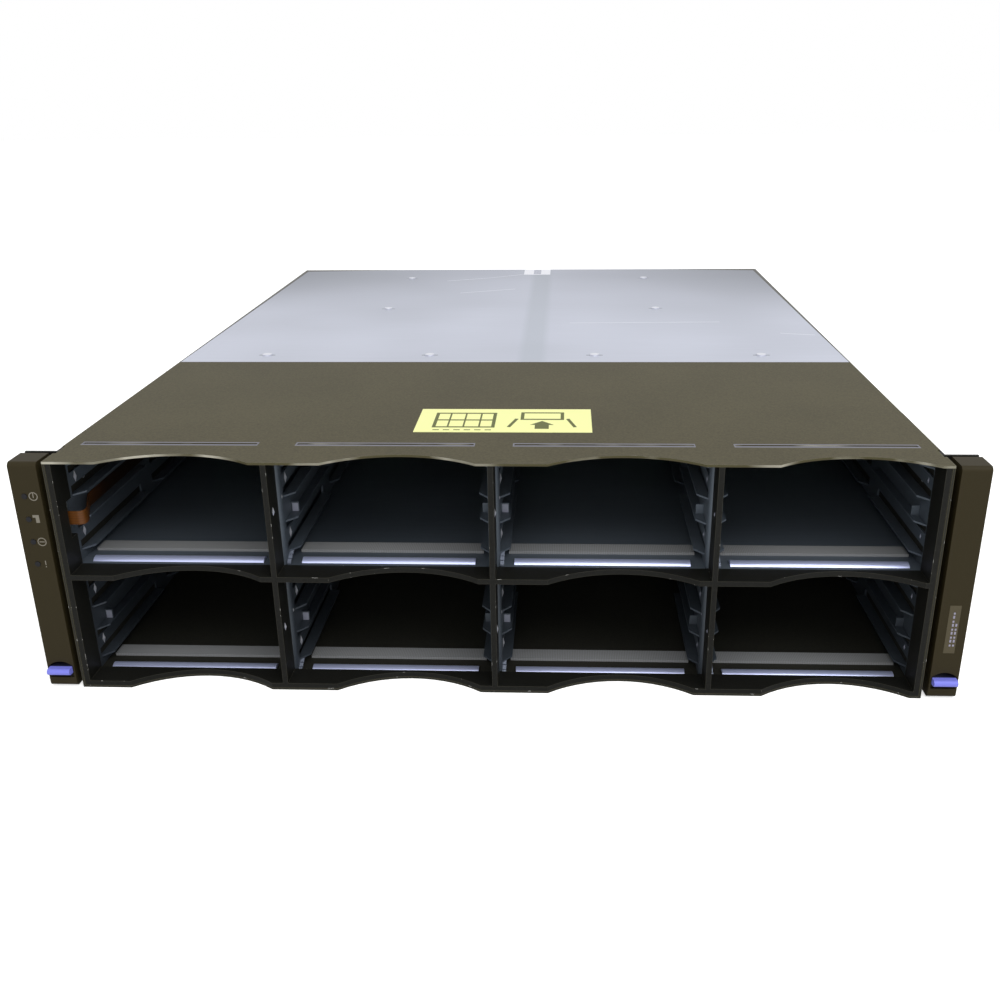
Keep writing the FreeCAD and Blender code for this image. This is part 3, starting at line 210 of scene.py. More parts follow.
def coverZinc():
    d = coverZincFinish
    roughness, metallic = zincFinish["roughness"], zincFinish["metallic"]
    material, tree, shader, tone = zincSheet(
        "zinc coated steel, rear cover", d["light"], d["dark"], roughness, metallic
    )
    place = addNode(tree, "ShaderNodeSeparateXYZ", links={"Vector": objectSpace(tree).outputs["Vector"]})
    # painted dark reflection: a darker streak down the cover's middle
    offset = addNode(
        tree, "ShaderNodeMath", {"operation": "SUBTRACT", 1: d["streakMiddle"]}, {0: place.outputs["X"]}
    )
    away = addNode(tree, "ShaderNodeMath", {"operation": "ABSOLUTE"}, {0: offset.outputs[0]})
    streak = addNode(
        tree,
        "ShaderNodeMapRange",
        {"From Min": d["streakHalf"], "From Max": d["streakHalf"] / 2, "To Max": d["streakShare"]},
        {"Value": away.outputs[0]},
    )
    streaked = addNode(
        tree,
        "ShaderNodeMix",
        {"data_type": "RGBA", "B": srgb(d["streak"])},
        {"Factor": streak.outputs["Result"], "A": tone.outputs["Color"]},
    )
    aside = addNode(tree, "ShaderNodeMath", {"operation": "ABSOLUTE"}, {0: place.outputs["X"]})
    # painted dark reflection, growing towards each rear corner
    rearward = addNode(
        tree,
        "ShaderNodeMapRange",
        {"From Min": rearFace - d["cornerReflectionReach"], "From Max": rearFace, "interpolation_type": "SMOOTHSTEP"},
        {"Value": place.outputs["Y"]},
    )
    outward = addNode(
        tree,
        "ShaderNodeMapRange",
        {"From Max": panHigh.x, "To Min": d["cornerReflectionInside"]},
        {"Value": aside.outputs[0]},
    )
    amount = addNode(
        tree,
        "ShaderNodeMath",
        {"operation": "MULTIPLY"},
        {0: rearward.outputs["Result"], 1: outward.outputs["Result"]},
    )
    cornerReflected = addNode(
        tree,
        "ShaderNodeMix",
        {"data_type": "RGBA", "B": srgb(d["cornerReflection"])},
        {"Factor": amount.outputs[0], "A": streaked.outputs["Result"]},
    )
    # painted dark reflection along the side edges, where the sheet bends down, and in the rear corners
    rim = addNode(
        tree,
        "ShaderNodeMapRange",
        {
            "From Min": coverJoint,
            "From Max": rearFace,
            "To Min": panHigh.x - d["rimFront"],
            "To Max": panHigh.x - d["rimRear"],
        },
        {"Value": place.outputs["Y"]},
    )
    side = addNode(
        tree,
        "ShaderNodeMath",
        {"operation": "GREATER_THAN"},
        {0: aside.outputs[0], 1: rim.outputs["Result"]},
    )
    rearBand = addNode(
        tree,
        "ShaderNodeMapRange",
        {"From Min": d["rearBandStart"], "From Max": panHigh.x, "To Min": rearFace, "To Max": rearFace - d["rearBand"]},
        {"Value": aside.outputs[0]},
    )
    corner = addNode(
        tree,
        "ShaderNodeMath",
        {"operation": "GREATER_THAN"},
        {0: place.outputs["Y"], 1: rearBand.outputs["Result"]},
    )
    bendReflection = addNode(
        tree, "ShaderNodeMath", {"operation": "MAXIMUM"}, {0: side.outputs[0], 1: corner.outputs[0]}
    )
    bendReflected = addNode(
        tree,
        "ShaderNodeMix",
        {"data_type": "RGBA", "B": srgb(d["darkening"])},
        {"Factor": bendReflection.outputs[0], "A": cornerReflected.outputs["Result"]},
    )
    tree.links.new(bendReflected.outputs["Result"], shader.inputs["Base Color"])
    return material


# the same sheet inside the bays, given a much darker tone as painted shade, since the bays lie in shade, and
# darker still in the lower bays, under the shelves, as more painted shade; blendLow and blendHigh lie below
# the shelves' tops
dulledFinish = {
    "light": "#5c656f",
    "dark": "#474f58",
    "roughness": 0.5,
    "metallic": 0.3,
    "lowerShade": 0.62,
    "blendLow": 4 * mm,
    "blendHigh": 1 * mm,
}


def dulledZinc():
    d = dulledFinish
    material, tree, shader, tone = zincSheet(
        "zinc coated steel, dulled", d["light"], d["dark"], d["roughness"], d["metallic"]
    )
    place = addNode(tree, "ShaderNodeSeparateXYZ", links={"Vector": objectSpace(tree).outputs["Vector"]})
    # painted shade: the colour is scaled down below the shelves' tops
    shelfTop = bayFloors["upper"]
    level = addNode(
        tree,
        "ShaderNodeMapRange",
        {
            "From Min": shelfTop - d["blendLow"],
            "From Max": shelfTop - d["blendHigh"],
            "To Min": d["lowerShade"],
        },
        {"Value": place.outputs["Z"]},
    )
    shaded = addNode(
        tree,
        "ShaderNodeVectorMath",
        {"operation": "SCALE"},
        {0: tone.outputs["Color"], "Scale": level.outputs["Result"]},
    )
    tree.links.new(shaded.outputs["Vector"], shader.inputs["Base Color"])
    return material


# powder coat on sheet steel: satin, with a fine orange peel, and edges towards the front lightened, partly by
# rubbing and partly as painted highlight, and chipped
coatFinish = {
    "specular": 0.13,
    "mottle": 60 * mm,
    "peel": 1.0 * mm,
    "peelShare": 0.7,
    "peelStrength": 0.15,
    "peelDepth": 0.1 * mm,
    "darkAt": 0.35,
    "lightAt": 0.65,
    "edge": 0.45 * mm,
    "wearAndHighlightReach": 30 * mm,
    "chip": 4 * mm,
    "chipLevel": 0.67,
    "bare": "#b9b8b4",
}


def powderCoat(name, light, dark, roughness, edgeWearAndHighlight):
    d = coatFinish
    material, tree, shader = newMaterial(name, light, roughness, specular=d["specular"])
    place = objectSpace(tree)
    vector = {"Vector": place.outputs["Vector"]}
    mottle = addNode(tree, "ShaderNodeTexNoise", {"Scale": grain(d["mottle"]), "Detail": 2.0}, vector)
    peel = addNode(tree, "ShaderNodeTexNoise", {"Scale": grain(d["peel"]), "Detail": 1.0}, vector)
    both = addNode(
        tree,
        "ShaderNodeMix",
        {"data_type": "FLOAT", "Factor": d["peelShare"]},
        {"A": mottle.outputs["Fac"], "B": peel.outputs["Fac"]},
    )
    tone = addNode(
        tree,
        "ShaderNodeValToRGB",
        {"stops": [(d["darkAt"], dark), (d["lightAt"], light)]},
        {"Fac": both.outputs["Result"]},
    )
    # the lightened edge, only near the front, where drives and hands pass: partly real rubbing, partly a
    # painted highlight on the rounded edges
    split = addNode(tree, "ShaderNodeSeparateXYZ", links=vector)
    near = addNode(
        tree,
        "ShaderNodeMath",
        {"operation": "LESS_THAN", 1: frontFace + d["wearAndHighlightReach"]},
        {0: split.outputs["Y"]},
    )
    edge = addNode(
        tree,
        "ShaderNodeMath",
        {"operation": "MULTIPLY"},
        {0: edgeMask(tree, d["edge"]).outputs["Result"], 1: near.outputs[0]},
    )
    wornAndLit = addNode(
        tree,
        "ShaderNodeMix",
        {"data_type": "RGBA", "B": srgb(edgeWearAndHighlight)},
        {"Factor": edge.outputs[0], "A": tone.outputs["Color"]},
    )
    # a few chips down to bare metal along that edge
    spots = addNode(tree, "ShaderNodeTexNoise", {"Scale": grain(d["chip"]), "Detail": 3.0}, vector)
    few = addNode(
        tree, "ShaderNodeMath", {"operation": "GREATER_THAN", 1: d["chipLevel"]}, {0: spots.outputs["Fac"]}
    )
    chips = addNode(
        tree, "ShaderNodeMath", {"operation": "MULTIPLY"}, {0: few.outputs[0], 1: edge.outputs[0]}
    )
    chipped = addNode(
        tree,
        "ShaderNodeMix",
        {"data_type": "RGBA", "B": srgb(d["bare"])},
        {"Factor": chips.outputs[0], "A": wornAndLit.outputs["Result"]},
    )
    tree.links.new(chipped.outputs["Result"], shader.inputs["Base Color"])
    relief = addNode(
        tree,
        "ShaderNodeBump",
        {"Strength": d["peelStrength"], "Distance": d["peelDepth"]},
        {"Height": peel.outputs["Fac"]},
    )
    tree.links.new(relief.outputs["Normal"], shader.inputs["Normal"])
    return material, tree, shader, chipped


# each coat's name, light and dark tone, roughness and lightened edge, partly rubbed and partly painted
# highlight: the darker the coat, the less its form shows, so that the frame and flanges read by their
# lightened edges alone
coats = {
    "cover": ("powder coated steel, olive brown", "#544f3c", "#474333", 0.6, "#817e6c"),
    "frontFrame": ("powder coated steel, near black", "#1a1a17", "#131311", 0.5, "#3b3a32"),
    "pan": ("powder coated steel, dark olive", "#2d2c27", "#242420", 0.55, "#57533d"),
    "flange": ("powder coated steel, black", "#1b1a18", "#151412", 0.5, "#35342f"),
}

# the front cover's four embossed slots carry a painted highlight, one over the middle of each column, and the
# sheared edge of its sheet is rubbed unevenly down to the metal
coverHighlightAndWear = {
    "slotSetback": 29 * mm,
    "slotHalf": 2.7 * mm,
    "slotHalfLength": 46.5 * mm,
    "slot": "#7b7b83",
    "edgeFacing": -0.6,
    "edgePatch": 28 * mm,
    "edgeStops": [(0.5, "#48442f"), (0.7, "#a9a698")],
}


def coverCoat():
    d = coverHighlightAndWear
    material, tree, shader, coat = powderCoat(*coats["cover"])
    place = addNode(tree, "ShaderNodeSeparateXYZ", links={"Vector": objectSpace(tree).outputs["Vector"]})
    # painted highlight: a light band over each slot
    row = addNode(
        tree,
        "ShaderNodeMath",
        {"operation": "COMPARE", 1: frontFace + d["slotSetback"], 2: d["slotHalf"]},
        {0: place.outputs["Y"]},
    )
    columns = addNode(tree, "ShaderNodeMath", {"operation": "DIVIDE", 1: bayPitch}, {0: place.outputs["X"]})
    across = addNode(tree, "ShaderNodeMath", {"operation": "FRACT"}, {0: columns.outputs[0]})
    over = addNode(
        tree,
        "ShaderNodeMath",
        {"operation": "COMPARE", 1: 0.5, 2: d["slotHalfLength"] / bayPitch},
        {0: across.outputs[0]},
    )
    slot = addNode(tree, "ShaderNodeMath", {"operation": "MULTIPLY"}, {0: row.outputs[0], 1: over.outputs[0]})
    slotHighlit = addNode(
        tree,
        "ShaderNodeMix",
        {"data_type": "RGBA", "B": srgb(d["slot"])},
        {"Factor": slot.outputs[0], "A": coat.outputs["Result"]},
    )
    # the sheared edge is known by its face, which looks to the front
    surface = addNode(tree, "ShaderNodeNewGeometry")
    facing = addNode(tree, "ShaderNodeSeparateXYZ", links={"Vector": surface.outputs["True Normal"]})
    edge = addNode(
        tree, "ShaderNodeMath", {"operation": "LESS_THAN", 1: d["edgeFacing"]}, {0: facing.outputs["Y"]}
    )
    wear = addNode(
        tree,
        "ShaderNodeTexNoise",
        {"Scale": grain(d["edgePatch"]), "Detail": 2.0},
        {"Vector": objectSpace(tree).outputs["Vector"]},
    )
    metal = addNode(tree, "ShaderNodeValToRGB", {"stops": d["edgeStops"]}, {"Fac": wear.outputs["Fac"]})
    shearedEdgeAndHighlight = addNode(
        tree,
        "ShaderNodeMix",
        {"data_type": "RGBA"},
        {"Factor": edge.outputs[0], "A": slotHighlit.outputs["Result"], "B": metal.outputs["Color"]},
    )
    tree.links.new(shearedEdgeAndHighlight.outputs["Result"], shader.inputs["Base Color"])
    return material


# moulded plastics: an even colour with the fine spark texture of the mould, which softens highlights
mouldTexture = {"spark": 0.6 * mm, "strength": 0.12, "depth": 0.05 * mm}

# each plastic's name, colour, roughness and specular level
mouldedFinishes = {
    "cap": ("moulded plastic, dark olive", "#2e2817", 0.55, 0.13),
    "connector": ("moulded plastic, connector black", "#141518", 0.5, 0.3),
    "fan": ("moulded plastic, fan black", "#18191b", 0.45, 0.3),
    "inlet": ("moulded plastic, inlet black", "#1c1d1f", 0.5, 0.3),
    "rocker": ("moulded plastic, gloss black", "#101113", 0.25, 0.3),
    "lever": ("moulded plastic, dark grey", "#34353a", 0.5, 0.3),
}


def mouldedPlastic(name, colour, roughness, specular):
    d = mouldTexture
    material, tree, shader = newMaterial(name, colour, roughness, specular=specular)
    noise = addNode(
        tree,
        "ShaderNodeTexNoise",
        {"Scale": grain(d["spark"]), "Detail": 1.0},
        {"Vector": objectSpace(tree).outputs["Vector"]},
    )
    texture = addNode(
        tree,
        "ShaderNodeBump",
        {"Strength": d["strength"], "Distance": d["depth"]},
        {"Height": noise.outputs["Fac"]},
    )
    tree.links.new(texture.outputs["Normal"], shader.inputs["Normal"])
    return material


# the latches: even periwinkle blue on the finger tab, and a dark blue painted shade on the neck inside the
# recess
latchFinish = {"tab": "#7b7fe0", "neck": "#23243a", "tabEnd": 0.4 * mm, "roughness": 0.45, "specular": 0.3}


def latchPlastic():
    d = latchFinish
    material, tree, shader = newMaterial(
        "moulded plastic, periwinkle blue", d["tab"], d["roughness"], specular=d["specular"]
    )
    place = addNode(tree, "ShaderNodeSeparateXYZ", links={"Vector": objectSpace(tree).outputs["Vector"]})
    # painted shade: dark behind the front of the tab
    inside = addNode(
        tree,
        "ShaderNodeMath",
        {"operation": "GREATER_THAN", 1: frontFace + d["tabEnd"]},
        {0: place.outputs["Y"]},
    )
    recessShade = addNode(
        tree,
        "ShaderNodeMix",
        {"data_type": "RGBA", "A": srgb(d["tab"]), "B": srgb(d["neck"])},
        {"Factor": inside.outputs[0]},
    )
    tree.links.new(recessShade.outputs["Result"], shader.inputs["Base Color"])
    return material


# rolled spring strip: bright, smooth metal with streaks along its length
stripFinish = {
    "colour": "#c6cef2",
    "metallic": 0.6,
    "roughness": 0.36,
    "smoothest": 0.28,
    "roughest": 0.42,
    "streakWidth": 0.8 * mm,
    "streakLength": 80 * mm,
}


def springSteel():
    d = stripFinish
    material, tree, shader = newMaterial(
        "spring steel strip, bright", d["colour"], d["roughness"], d["metallic"]
    )
    along = d["streakWidth"] / d["streakLength"]
    streak = addNode(
        tree,
        "ShaderNodeTexNoise",
        {"Scale": grain(d["streakWidth"]), "Detail": 2.0},
        {"Vector": objectSpace(tree, (along, 1, 1)).outputs["Vector"]},
    )
    rough = addNode(
        tree,
        "ShaderNodeMapRange",
        {"To Min": d["smoothest"], "To Max": d["roughest"]},
        {"Value": streak.outputs["Fac"]},
    )
    tree.links.new(rough.outputs["Result"], shader.inputs["Roughness"])
    return material


# conductive fabric over foam: a matt grey weave, drawn coarser than the real one so that it shows
fabricFinish = {
    "colour": "#85878a",
    "dark": "#7f807f",
    "light": "#8c8e91",
    "roughness": 0.85,
    "specular": 0.2,
    "weave": 3 * mm,
    "wander": 1.5,
}


def gasketFabric():
    d = fabricFinish
    material, tree, shader = newMaterial(
        "conductive fabric gasket, grey", d["colour"], d["roughness"], specular=d["specular"]
    )
    weave = addNode(
        tree,
        "ShaderNodeTexWave",
        {"Scale": grain(d["weave"]), "Distortion": d["wander"]},
        {"Vector": objectSpace(tree).outputs["Vector"]},
    )
    tone = addNode(
        tree,
        "ShaderNodeValToRGB",
        {"stops": [(0.2, d["dark"]), (0.8, d["light"])]},
        {"Fac": weave.outputs["Fac"]},
    )
    tree.links.new(tone.outputs["Color"], shader.inputs["Base Color"])
    return material


# glass-fibre board under solder mask: deep green, fairly glossy, with its tracks a lighter green
boardFinish = {
    "colour": "#1f4a30",
    "mask": "#1b432b",
    "maskOverCopper": "#205034",
    "track": "#2c6642",
    "trackPitch": 12 * mm,
    "trackShare": 0.06,
    "roughness": 0.35,
}


def circuitBoard():
    d = boardFinish
    material, tree, shader = newMaterial("circuit board, green solder mask", d["colour"], d["roughness"])
    tracks = addNode(
        tree,
        "ShaderNodeTexBrick",
        {
            "Scale": grain(d["trackPitch"]),
            "Mortar Size": d["trackShare"],
            "Color1": srgb(d["mask"]),
            "Color2": srgb(d["maskOverCopper"]),
            "Mortar": srgb(d["track"]),
        },
        {"Vector": objectSpace(tree).outputs["Vector"]},
    )
    tree.links.new(tracks.outputs["Color"], shader.inputs["Base Color"])
    return material


# polyimide film: amber brown, satin, with the copper tracks showing through as lighter and darker lines;
# behind its loop at the front it darkens as painted shade, deeper into the bay
ribbonFinish = {
    "colour": "#5f3710",
    "film": "#573310",
    "overTrack": "#623811",
    "roughness": 0.45,
    "specular": 0.3,
    "track": 4.4 * mm,  # wider than the real tracks, which would not show
    "darkening": "#26170d",
    "fadeStart": 13 * mm,
    "fadeEnd": 60 * mm,
}


def polyimideFilm():
    d = ribbonFinish
    material, tree, shader = newMaterial(
        "polyimide flex, amber brown", d["colour"], d["roughness"], specular=d["specular"]
    )
    tracks = addNode(
        tree,
        "ShaderNodeTexWave",
        {"Scale": grain(d["track"]), "bands_direction": "Z"},
        {"Vector": objectSpace(tree, (0, 0, 1)).outputs["Vector"]},
    )
    tone = addNode(
        tree,
        "ShaderNodeValToRGB",
        {"stops": [(0.35, d["film"]), (0.65, d["overTrack"])]},
        {"Fac": tracks.outputs["Fac"]},
    )
    place = addNode(tree, "ShaderNodeSeparateXYZ", links={"Vector": objectSpace(tree).outputs["Vector"]})
    # painted shade: darker further into the bay
    depth = addNode(
        tree,
        "ShaderNodeMapRange",
        {"From Min": frontFace + d["fadeStart"], "From Max": frontFace + d["fadeEnd"]},
        {"Value": place.outputs["Y"]},
    )
    faded = addNode(
        tree,
        "ShaderNodeMix",
        {"data_type": "RGBA", "B": srgb(d["darkening"])},
        {"Factor": depth.outputs["Result"], "A": tone.outputs["Color"]},
    )
    tree.links.new(faded.outputs["Result"], shader.inputs["Base Color"])
    return material


# finishes of one even tone: name, colour, roughness, metallic, specular level
evenFinishes = {
    # plated small parts: bright, a little rough, so that they catch the light as points
    "plated": ("zinc plated steel", "#d9dbe4", 0.35, 0.7, 0.5),
    "brass": ("nickel plated brass", "#d3ccb8", 0.28, 1.0, 0.5),
    "tin": ("tin plated steel", "#c9cbce", 0.35, 0.85, 0.5),
    # the clips' spring steel is a dark grey, so they stay quiet in the bay corners
    "clip": ("spring steel clip, dull", "#6a7180", 0.5, 0.4, 0.5),
    # a light zinc grey, a shade brighter than the painted-shade sheet round it: on the stop tabs' sheared
    # faces and on the dimples of the walls that look left, as painted highlight
    "shearedEdgeAndHighlight": ("sheared zinc edge, grey lilac", "#8a8d9c", 0.5, 0.0, 0.5),
    # the scratches show the bright zinc under its skin, and the smudges are a darker film over it
    "scratch": ("bright scratch in zinc", "#e3e5ee", 0.5, 0.0, 0.3),
    "smudge": ("oil smudge on zinc", "#989ca6", 0.5, 0.0, 0.3),
    # an unlit light pipe: its end is dark and smooth
    "acrylic": ("acrylic light pipe, unlit", "#17171c", 0.35, 0.0, 0.25),
    # label film and its inks: even and slightly glossy
    "yellow": ("label film, pale yellow", "#f7f9ac", 0.5, 0.0, 0.3),
    "white": ("label film, white", "#f2f3fa", 0.5, 0.0, 0.3),
    "strip": ("label film, grey brown", "#49422f", 0.5, 0.0, 0.3),
    "oliveInk": ("printed ink, olive", "#565c22", 0.5, 0.0, 0.3),
    "greyInk": ("printed ink, grey", "#a5a8b8", 0.5, 0.0, 0.3),
    "paleInk": ("printed ink, grey brown", "#777267", 0.5, 0.0, 0.3),
    "lilacInk": ("printed ink, pale lilac", "#8f8c9e", 0.5, 0.0, 0.3),
}

finishes = {key: mouldedPlastic(*values) for key, values in mouldedFinishes.items()}
finishes.update({key: newMaterial(*values)[0] for key, values in evenFinishes.items()})
finishes.update({key: powderCoat(*coats[key])[0] for key in ("frontFrame", "pan", "flange")})
finishes.update(
    bright=brightZinc(),
    coverZinc=coverZinc(),
    dulled=dulledZinc(),
    cover=coverCoat(),
    latch=latchPlastic(),
    spring=springSteel(),
    gasket=gasketFabric(),
    board=circuitBoard(),
    ribbon=polyimideFilm(),
)

# which finish each CAD node wears, by the start of its name
nodeFinishes = {
    "base_pan": "pan",
    "top_cover_front": "cover",
    "top_cover_rear": "coverZinc",
    "front_frame": "frontFrame",
    "mid_shelf": "dulled",
    "partition": "dulled",
    "side_liner": "dulled",
    "midplane_bracket": "dulled",
    "rear_divider": "bright",
    "module_shelf": "bright",
    "grounding_strips": "spring",
    "gasket_pads": "gasket",
    "midplane_board": "board",
    "indicator_board": "board",
    "drive_connectors": "connector",
    "module_connectors": "connector",
    "cover_rivets": "plated",
    "flange_screws": "plated",
    "supply_case": "bright",
    "supply_faceplate": "bright",
    "port_case": "bright",
    "port_faceplate": "bright",
    "fan_": "fan",
    "power_inlet": "inlet",
    "inlet_pins": "brass",
    "power_rocker": "rocker",
    "supply_lever": "lever",
    "port_lever": "lever",
    "port_cages": "tin",
    "rack_flange": "flange",
    "end_cap": "cap",
    "latch": "latch",
    "light_pipes": "acrylic",
    "indicator_ribbon": "ribbon",
}
for name, node in nodes.items():
    key = next(start for start in nodeFinishes if name.startswith(start))
    for holder in node.material_slots:
        holder.material = finishes[nodeFinishes[key]]
print("finishes set on the CAD nodes")


def addPiece(name, shape, finish, body):
    # shape is a vertex list and a face list
    vertices, faces = shape
    mesh = bpy.data.meshes.new(name)
    mesh.from_pydata([tuple(v) for v in vertices], [], faces)
    mesh.materials.append(finishes[finish])
    piece = bpy.data.objects.new(name, mesh)
    bpy.context.scene.collection.objects.link(piece)
    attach(piece, body)


def joinShapes(shapes):
    vertices, faces = [], []
    for points, rims in shapes:
        faces += [[len(vertices) + i for i in rim] for rim in rims]
        vertices += points
    return vertices, faces


def prism(corners, push):
    # an outline pushed along a vector; its corners run anticlockwise as seen from the push's head
    count = len(corners)
    vertices = [Vector(c) for c in corners] + [Vector(c) + Vector(push) for c in corners]
    faces = [list(reversed(range(count))), list(range(count, count * 2))]
    for i in range(count):
        j = (i + 1) % count
        faces.append([i, j, count + j, count + i])
    return vertices, faces


def bar(u0, v0, u1, v1):
    # a rectangle in a plane, from its low corner to its high one
    return [(u0, v0), (u1, v0), (u1, v1), (u0, v1)]


def stroke(start, end, width):
    # a straight pen stroke between two points of a plane
    (u0, v0), (u1, v1) = start, end
    length = math.hypot(u1 - u0, v1 - v0)
    u, v = (v0 - v1) / length * width / 2, (u1 - u0) / length * width / 2
    return [(u0 - u, v0 - v), (u1 - u, v1 - v), (u1 + u, v1 + v), (u0 + u, v0 + v)]


def outlineBars(u0, v0, u1, v1, width):
    # four bars that draw the outline of a rectangle
    return [
        bar(u0, v0, u1, v0 + width),
        bar(u0, v1 - width, u1, v1),
        bar(u0, v0 + width, u0 + width, v1 - width),
        bar(u1 - width, v0 + width, u1, v1 - width),
    ]


def circle(u, v, radius, steps):
    turns = [math.tau * i / steps for i in range(steps)]
    return [(u + radius * math.cos(a), v + radius * math.sin(a)) for a in turns]


def ringBars(u, v, radius, width, steps=20):
    # a ring as a row of short bars
    inner, outer = circle(u, v, radius - width, steps), circle(u, v, radius, steps)
    return [[inner[i], outer[i], outer[(i + 1) % steps], inner[(i + 1) % steps]] for i in range(steps)]


def onTop(outlines, level, thickness):
    # outlines in X and Y, raised from a level face
    return joinShapes(prism([(u, v, level) for u, v in outline], (0, 0, thickness)) for outline in outlines)


def onFront(outlines, level, thickness):
    # outlines in X and Z, raised towards the front from an upright face
    return joinShapes(
        prism([(u, level, v) for u, v in outline], (0, -thickness, 0)) for outline in outlines
    )


# the yellow label on the front cover: a plain map of the eight bays over a row of blank dashes, and an
# open box with an arrow into it between two guide strokes; places are from the label's near left corner,
# and the box's from its own middle line
bayLabel = {
    "left": -44.6 * mm,
    "right": 50.9 * mm,
    "setback": 49.5 * mm,
    "depth": 42.2 * mm,
    "thickness": 0.1 * mm,
    "ink": 0.04 * mm,
    "line": 1.9 * mm,
    "mapLeft": 9 * mm,
    "mapLow": 8 * mm,
    "mapWidth": 34 * mm,
    "mapDepth": 27 * mm,
    "boxInset": 27 * mm,
    "boxWidth": 24 * mm,
    "boxLow": 22 * mm,
    "boxHigh": 36 * mm,
    "arrowLow": 6 * mm,
    "arrowNeck": 13 * mm,
    "arrowTip": 20 * mm,
    "arrowHalf": 6.5 * mm,
    "guideFoot": (18 * mm, 9 * mm),
    "guideTop": (14 * mm, 24 * mm),
    "dashes": 6,
    "dashStart": 1 * mm,
    "dashPitch": 5.6 * mm,
    "dashLength": 3.4 * mm,
    "dashLow": 3.4 * mm,
    "dashHigh": 4.6 * mm,
}


def makeBayLabel():
    d = bayLabel
    near = frontFace + d["setback"]
    far = near + d["depth"]
    sticker = onTop([bar(d["left"], near, d["right"], far)], coverTop, d["thickness"])
    addPiece("bay_label", sticker, "yellow", "chassis")

    line = d["line"]
    mapLeft, mapLow = d["left"] + d["mapLeft"], near + d["mapLow"]
    mapRight, mapHigh = mapLeft + d["mapWidth"], mapLow + d["mapDepth"]
    marks = outlineBars(mapLeft, mapLow, mapRight, mapHigh, line)
    shelf = (mapLow + mapHigh) / 2
    marks.append(bar(mapLeft + line, shelf - line / 2, mapRight - line, shelf + line / 2))
    for column in (1, 2, 3):
        u = mapLeft + d["mapWidth"] * column / 4
        for low, high in ((mapLow + line, shelf - line / 2), (shelf + line / 2, mapHigh - line)):
            marks.append(bar(u - line / 4, low, u + line / 4, high))

    centre = d["right"] - d["boxInset"]
    half, head = d["boxWidth"] / 2, d["arrowHalf"]
    neck = near + d["arrowNeck"]
    marks += outlineBars(centre - half, near + d["boxLow"], centre + half, near + d["boxHigh"], line)
    marks.append(bar(centre - 2 * line, near + d["arrowLow"], centre + 2 * line, neck))
    marks.append([(centre - head, neck), (centre + head, neck), (centre, near + d["arrowTip"])])
    for side in (-1, 1):
        foot, top = [(centre + u * side, near + v) for u, v in (d["guideFoot"], d["guideTop"])]
        marks.append(stroke(foot, top, line))
    for n in range(d["dashes"]):
        u = mapLeft + d["dashStart"] + d["dashPitch"] * n
        marks.append(bar(u, near + d["dashLow"], u + d["dashLength"], near + d["dashHigh"]))
    ink = onTop(marks, coverTop + d["thickness"], d["ink"])
    addPiece("bay_label_print", ink, "oliveInk", "chassis")


# the white label at the rear edge of the cover, with a column of blank grey rows in its middle
rearLabel = {
    "left": -4 * mm,
    "right": 21.6 * mm,
    "depth": 29 * mm,
    "inset": 1 * mm,
    "thickness": 0.1 * mm,
    "ink": 0.04 * mm,
    "rowLeft": 5.5 * mm,
    "rowRight": 12.5 * mm,
    "rows": 5,
    "rowStart": 2.5 * mm,
    "rowDepth": 3.5 * mm,
    "rowPitch": 5 * mm,
}


def makeRearLabel():
    d = rearLabel
    far = rearFace - d["inset"]
    near = far - d["depth"]
    sticker = onTop([bar(d["left"], near, d["right"], far)], coverTop, d["thickness"])
    addPiece("rear_label", sticker, "white", "chassis")
    starts = [near + d["rowStart"] + d["rowPitch"] * row for row in range(d["rows"])]
    rows = [bar(d["rowLeft"], start, d["rowRight"], start + d["rowDepth"]) for start in starts]
    ink = onTop(rows, coverTop + d["thickness"], d["ink"])
    addPiece("rear_label_print", ink, "greyInk", "chassis")


# dark smudges beside the rivets, and handling scratches, as start and end points from the cover's middle
coverMarks = {
    "smudgeReach": 5.6 * mm,
    "smudgeHalf": 1.1 * mm,
    "rivetSpread": 10 * mm,
    "film": 0.03 * mm,
    "scratchWidth": 0.9 * mm,
    "scratches": [
        ((-75 * mm, 222 * mm), (-36 * mm, 238 * mm)),
        ((-36 * mm, 238 * mm), (-3 * mm, 258 * mm)),
        ((-57 * mm, 161 * mm), (-9 * mm, 180 * mm)),
        ((40 * mm, 36 * mm), (155 * mm, 39 * mm)),
        ((194 * mm, 0), (218 * mm, -6 * mm)),
    ],
}


def rivetCentres():
    # the rivets' centres, read back from their vertices, which fall into one group for each rivet
    spread = coverMarks["rivetSpread"]
    groups = []
    for vertex in nodes["cover_rivets"].data.vertices:
        spot = vertex.co.xy
        home = next((group for group in groups if (group[0] - spot).length < spread), None)
        if home is None:
            groups.append([spot.copy()])
        else:
            home.append(spot.copy())
    return [sum(group, Vector((0, 0))) / len(group) for group in groups]


def makeCoverMarks():
    d = coverMarks
    reach, half = d["smudgeReach"], d["smudgeHalf"]
    smudges = [bar(c.x - reach, c.y - half, c.x + reach, c.y + half) for c in rivetCentres()]
    addPiece("rivet_smudges", onTop(smudges, coverTop, d["film"]), "smudge", "chassis")
    lines = [stroke(start, end, d["scratchWidth"]) for start, end in d["scratches"]]
    addPiece("cover_scratches", onTop(lines, coverTop, d["film"]), "scratch", "chassis")


# four plain symbols in pale print beside the lamps of the left cap
capSymbols = {
    "line": 230.8 * mm,
    "radius": 2.35 * mm,
    "stroke": 0.5 * mm,
    "ink": 0.06 * mm,
    "lampPitch": 12.5 * mm,
}


def lampHeights():
    # the lamps' heights, read back from the four light pipes, top first
    pitch = capSymbols["lampPitch"]
    heights = [v.co.z for v in nodes["light_pipes"].data.vertices]
    groups = sorted({round(z / pitch) for z in heights}, reverse=True)
    members = [[z for z in heights if round(z / pitch) == key] for key in groups]
    return [(min(group) + max(group)) / 2 for group in members]


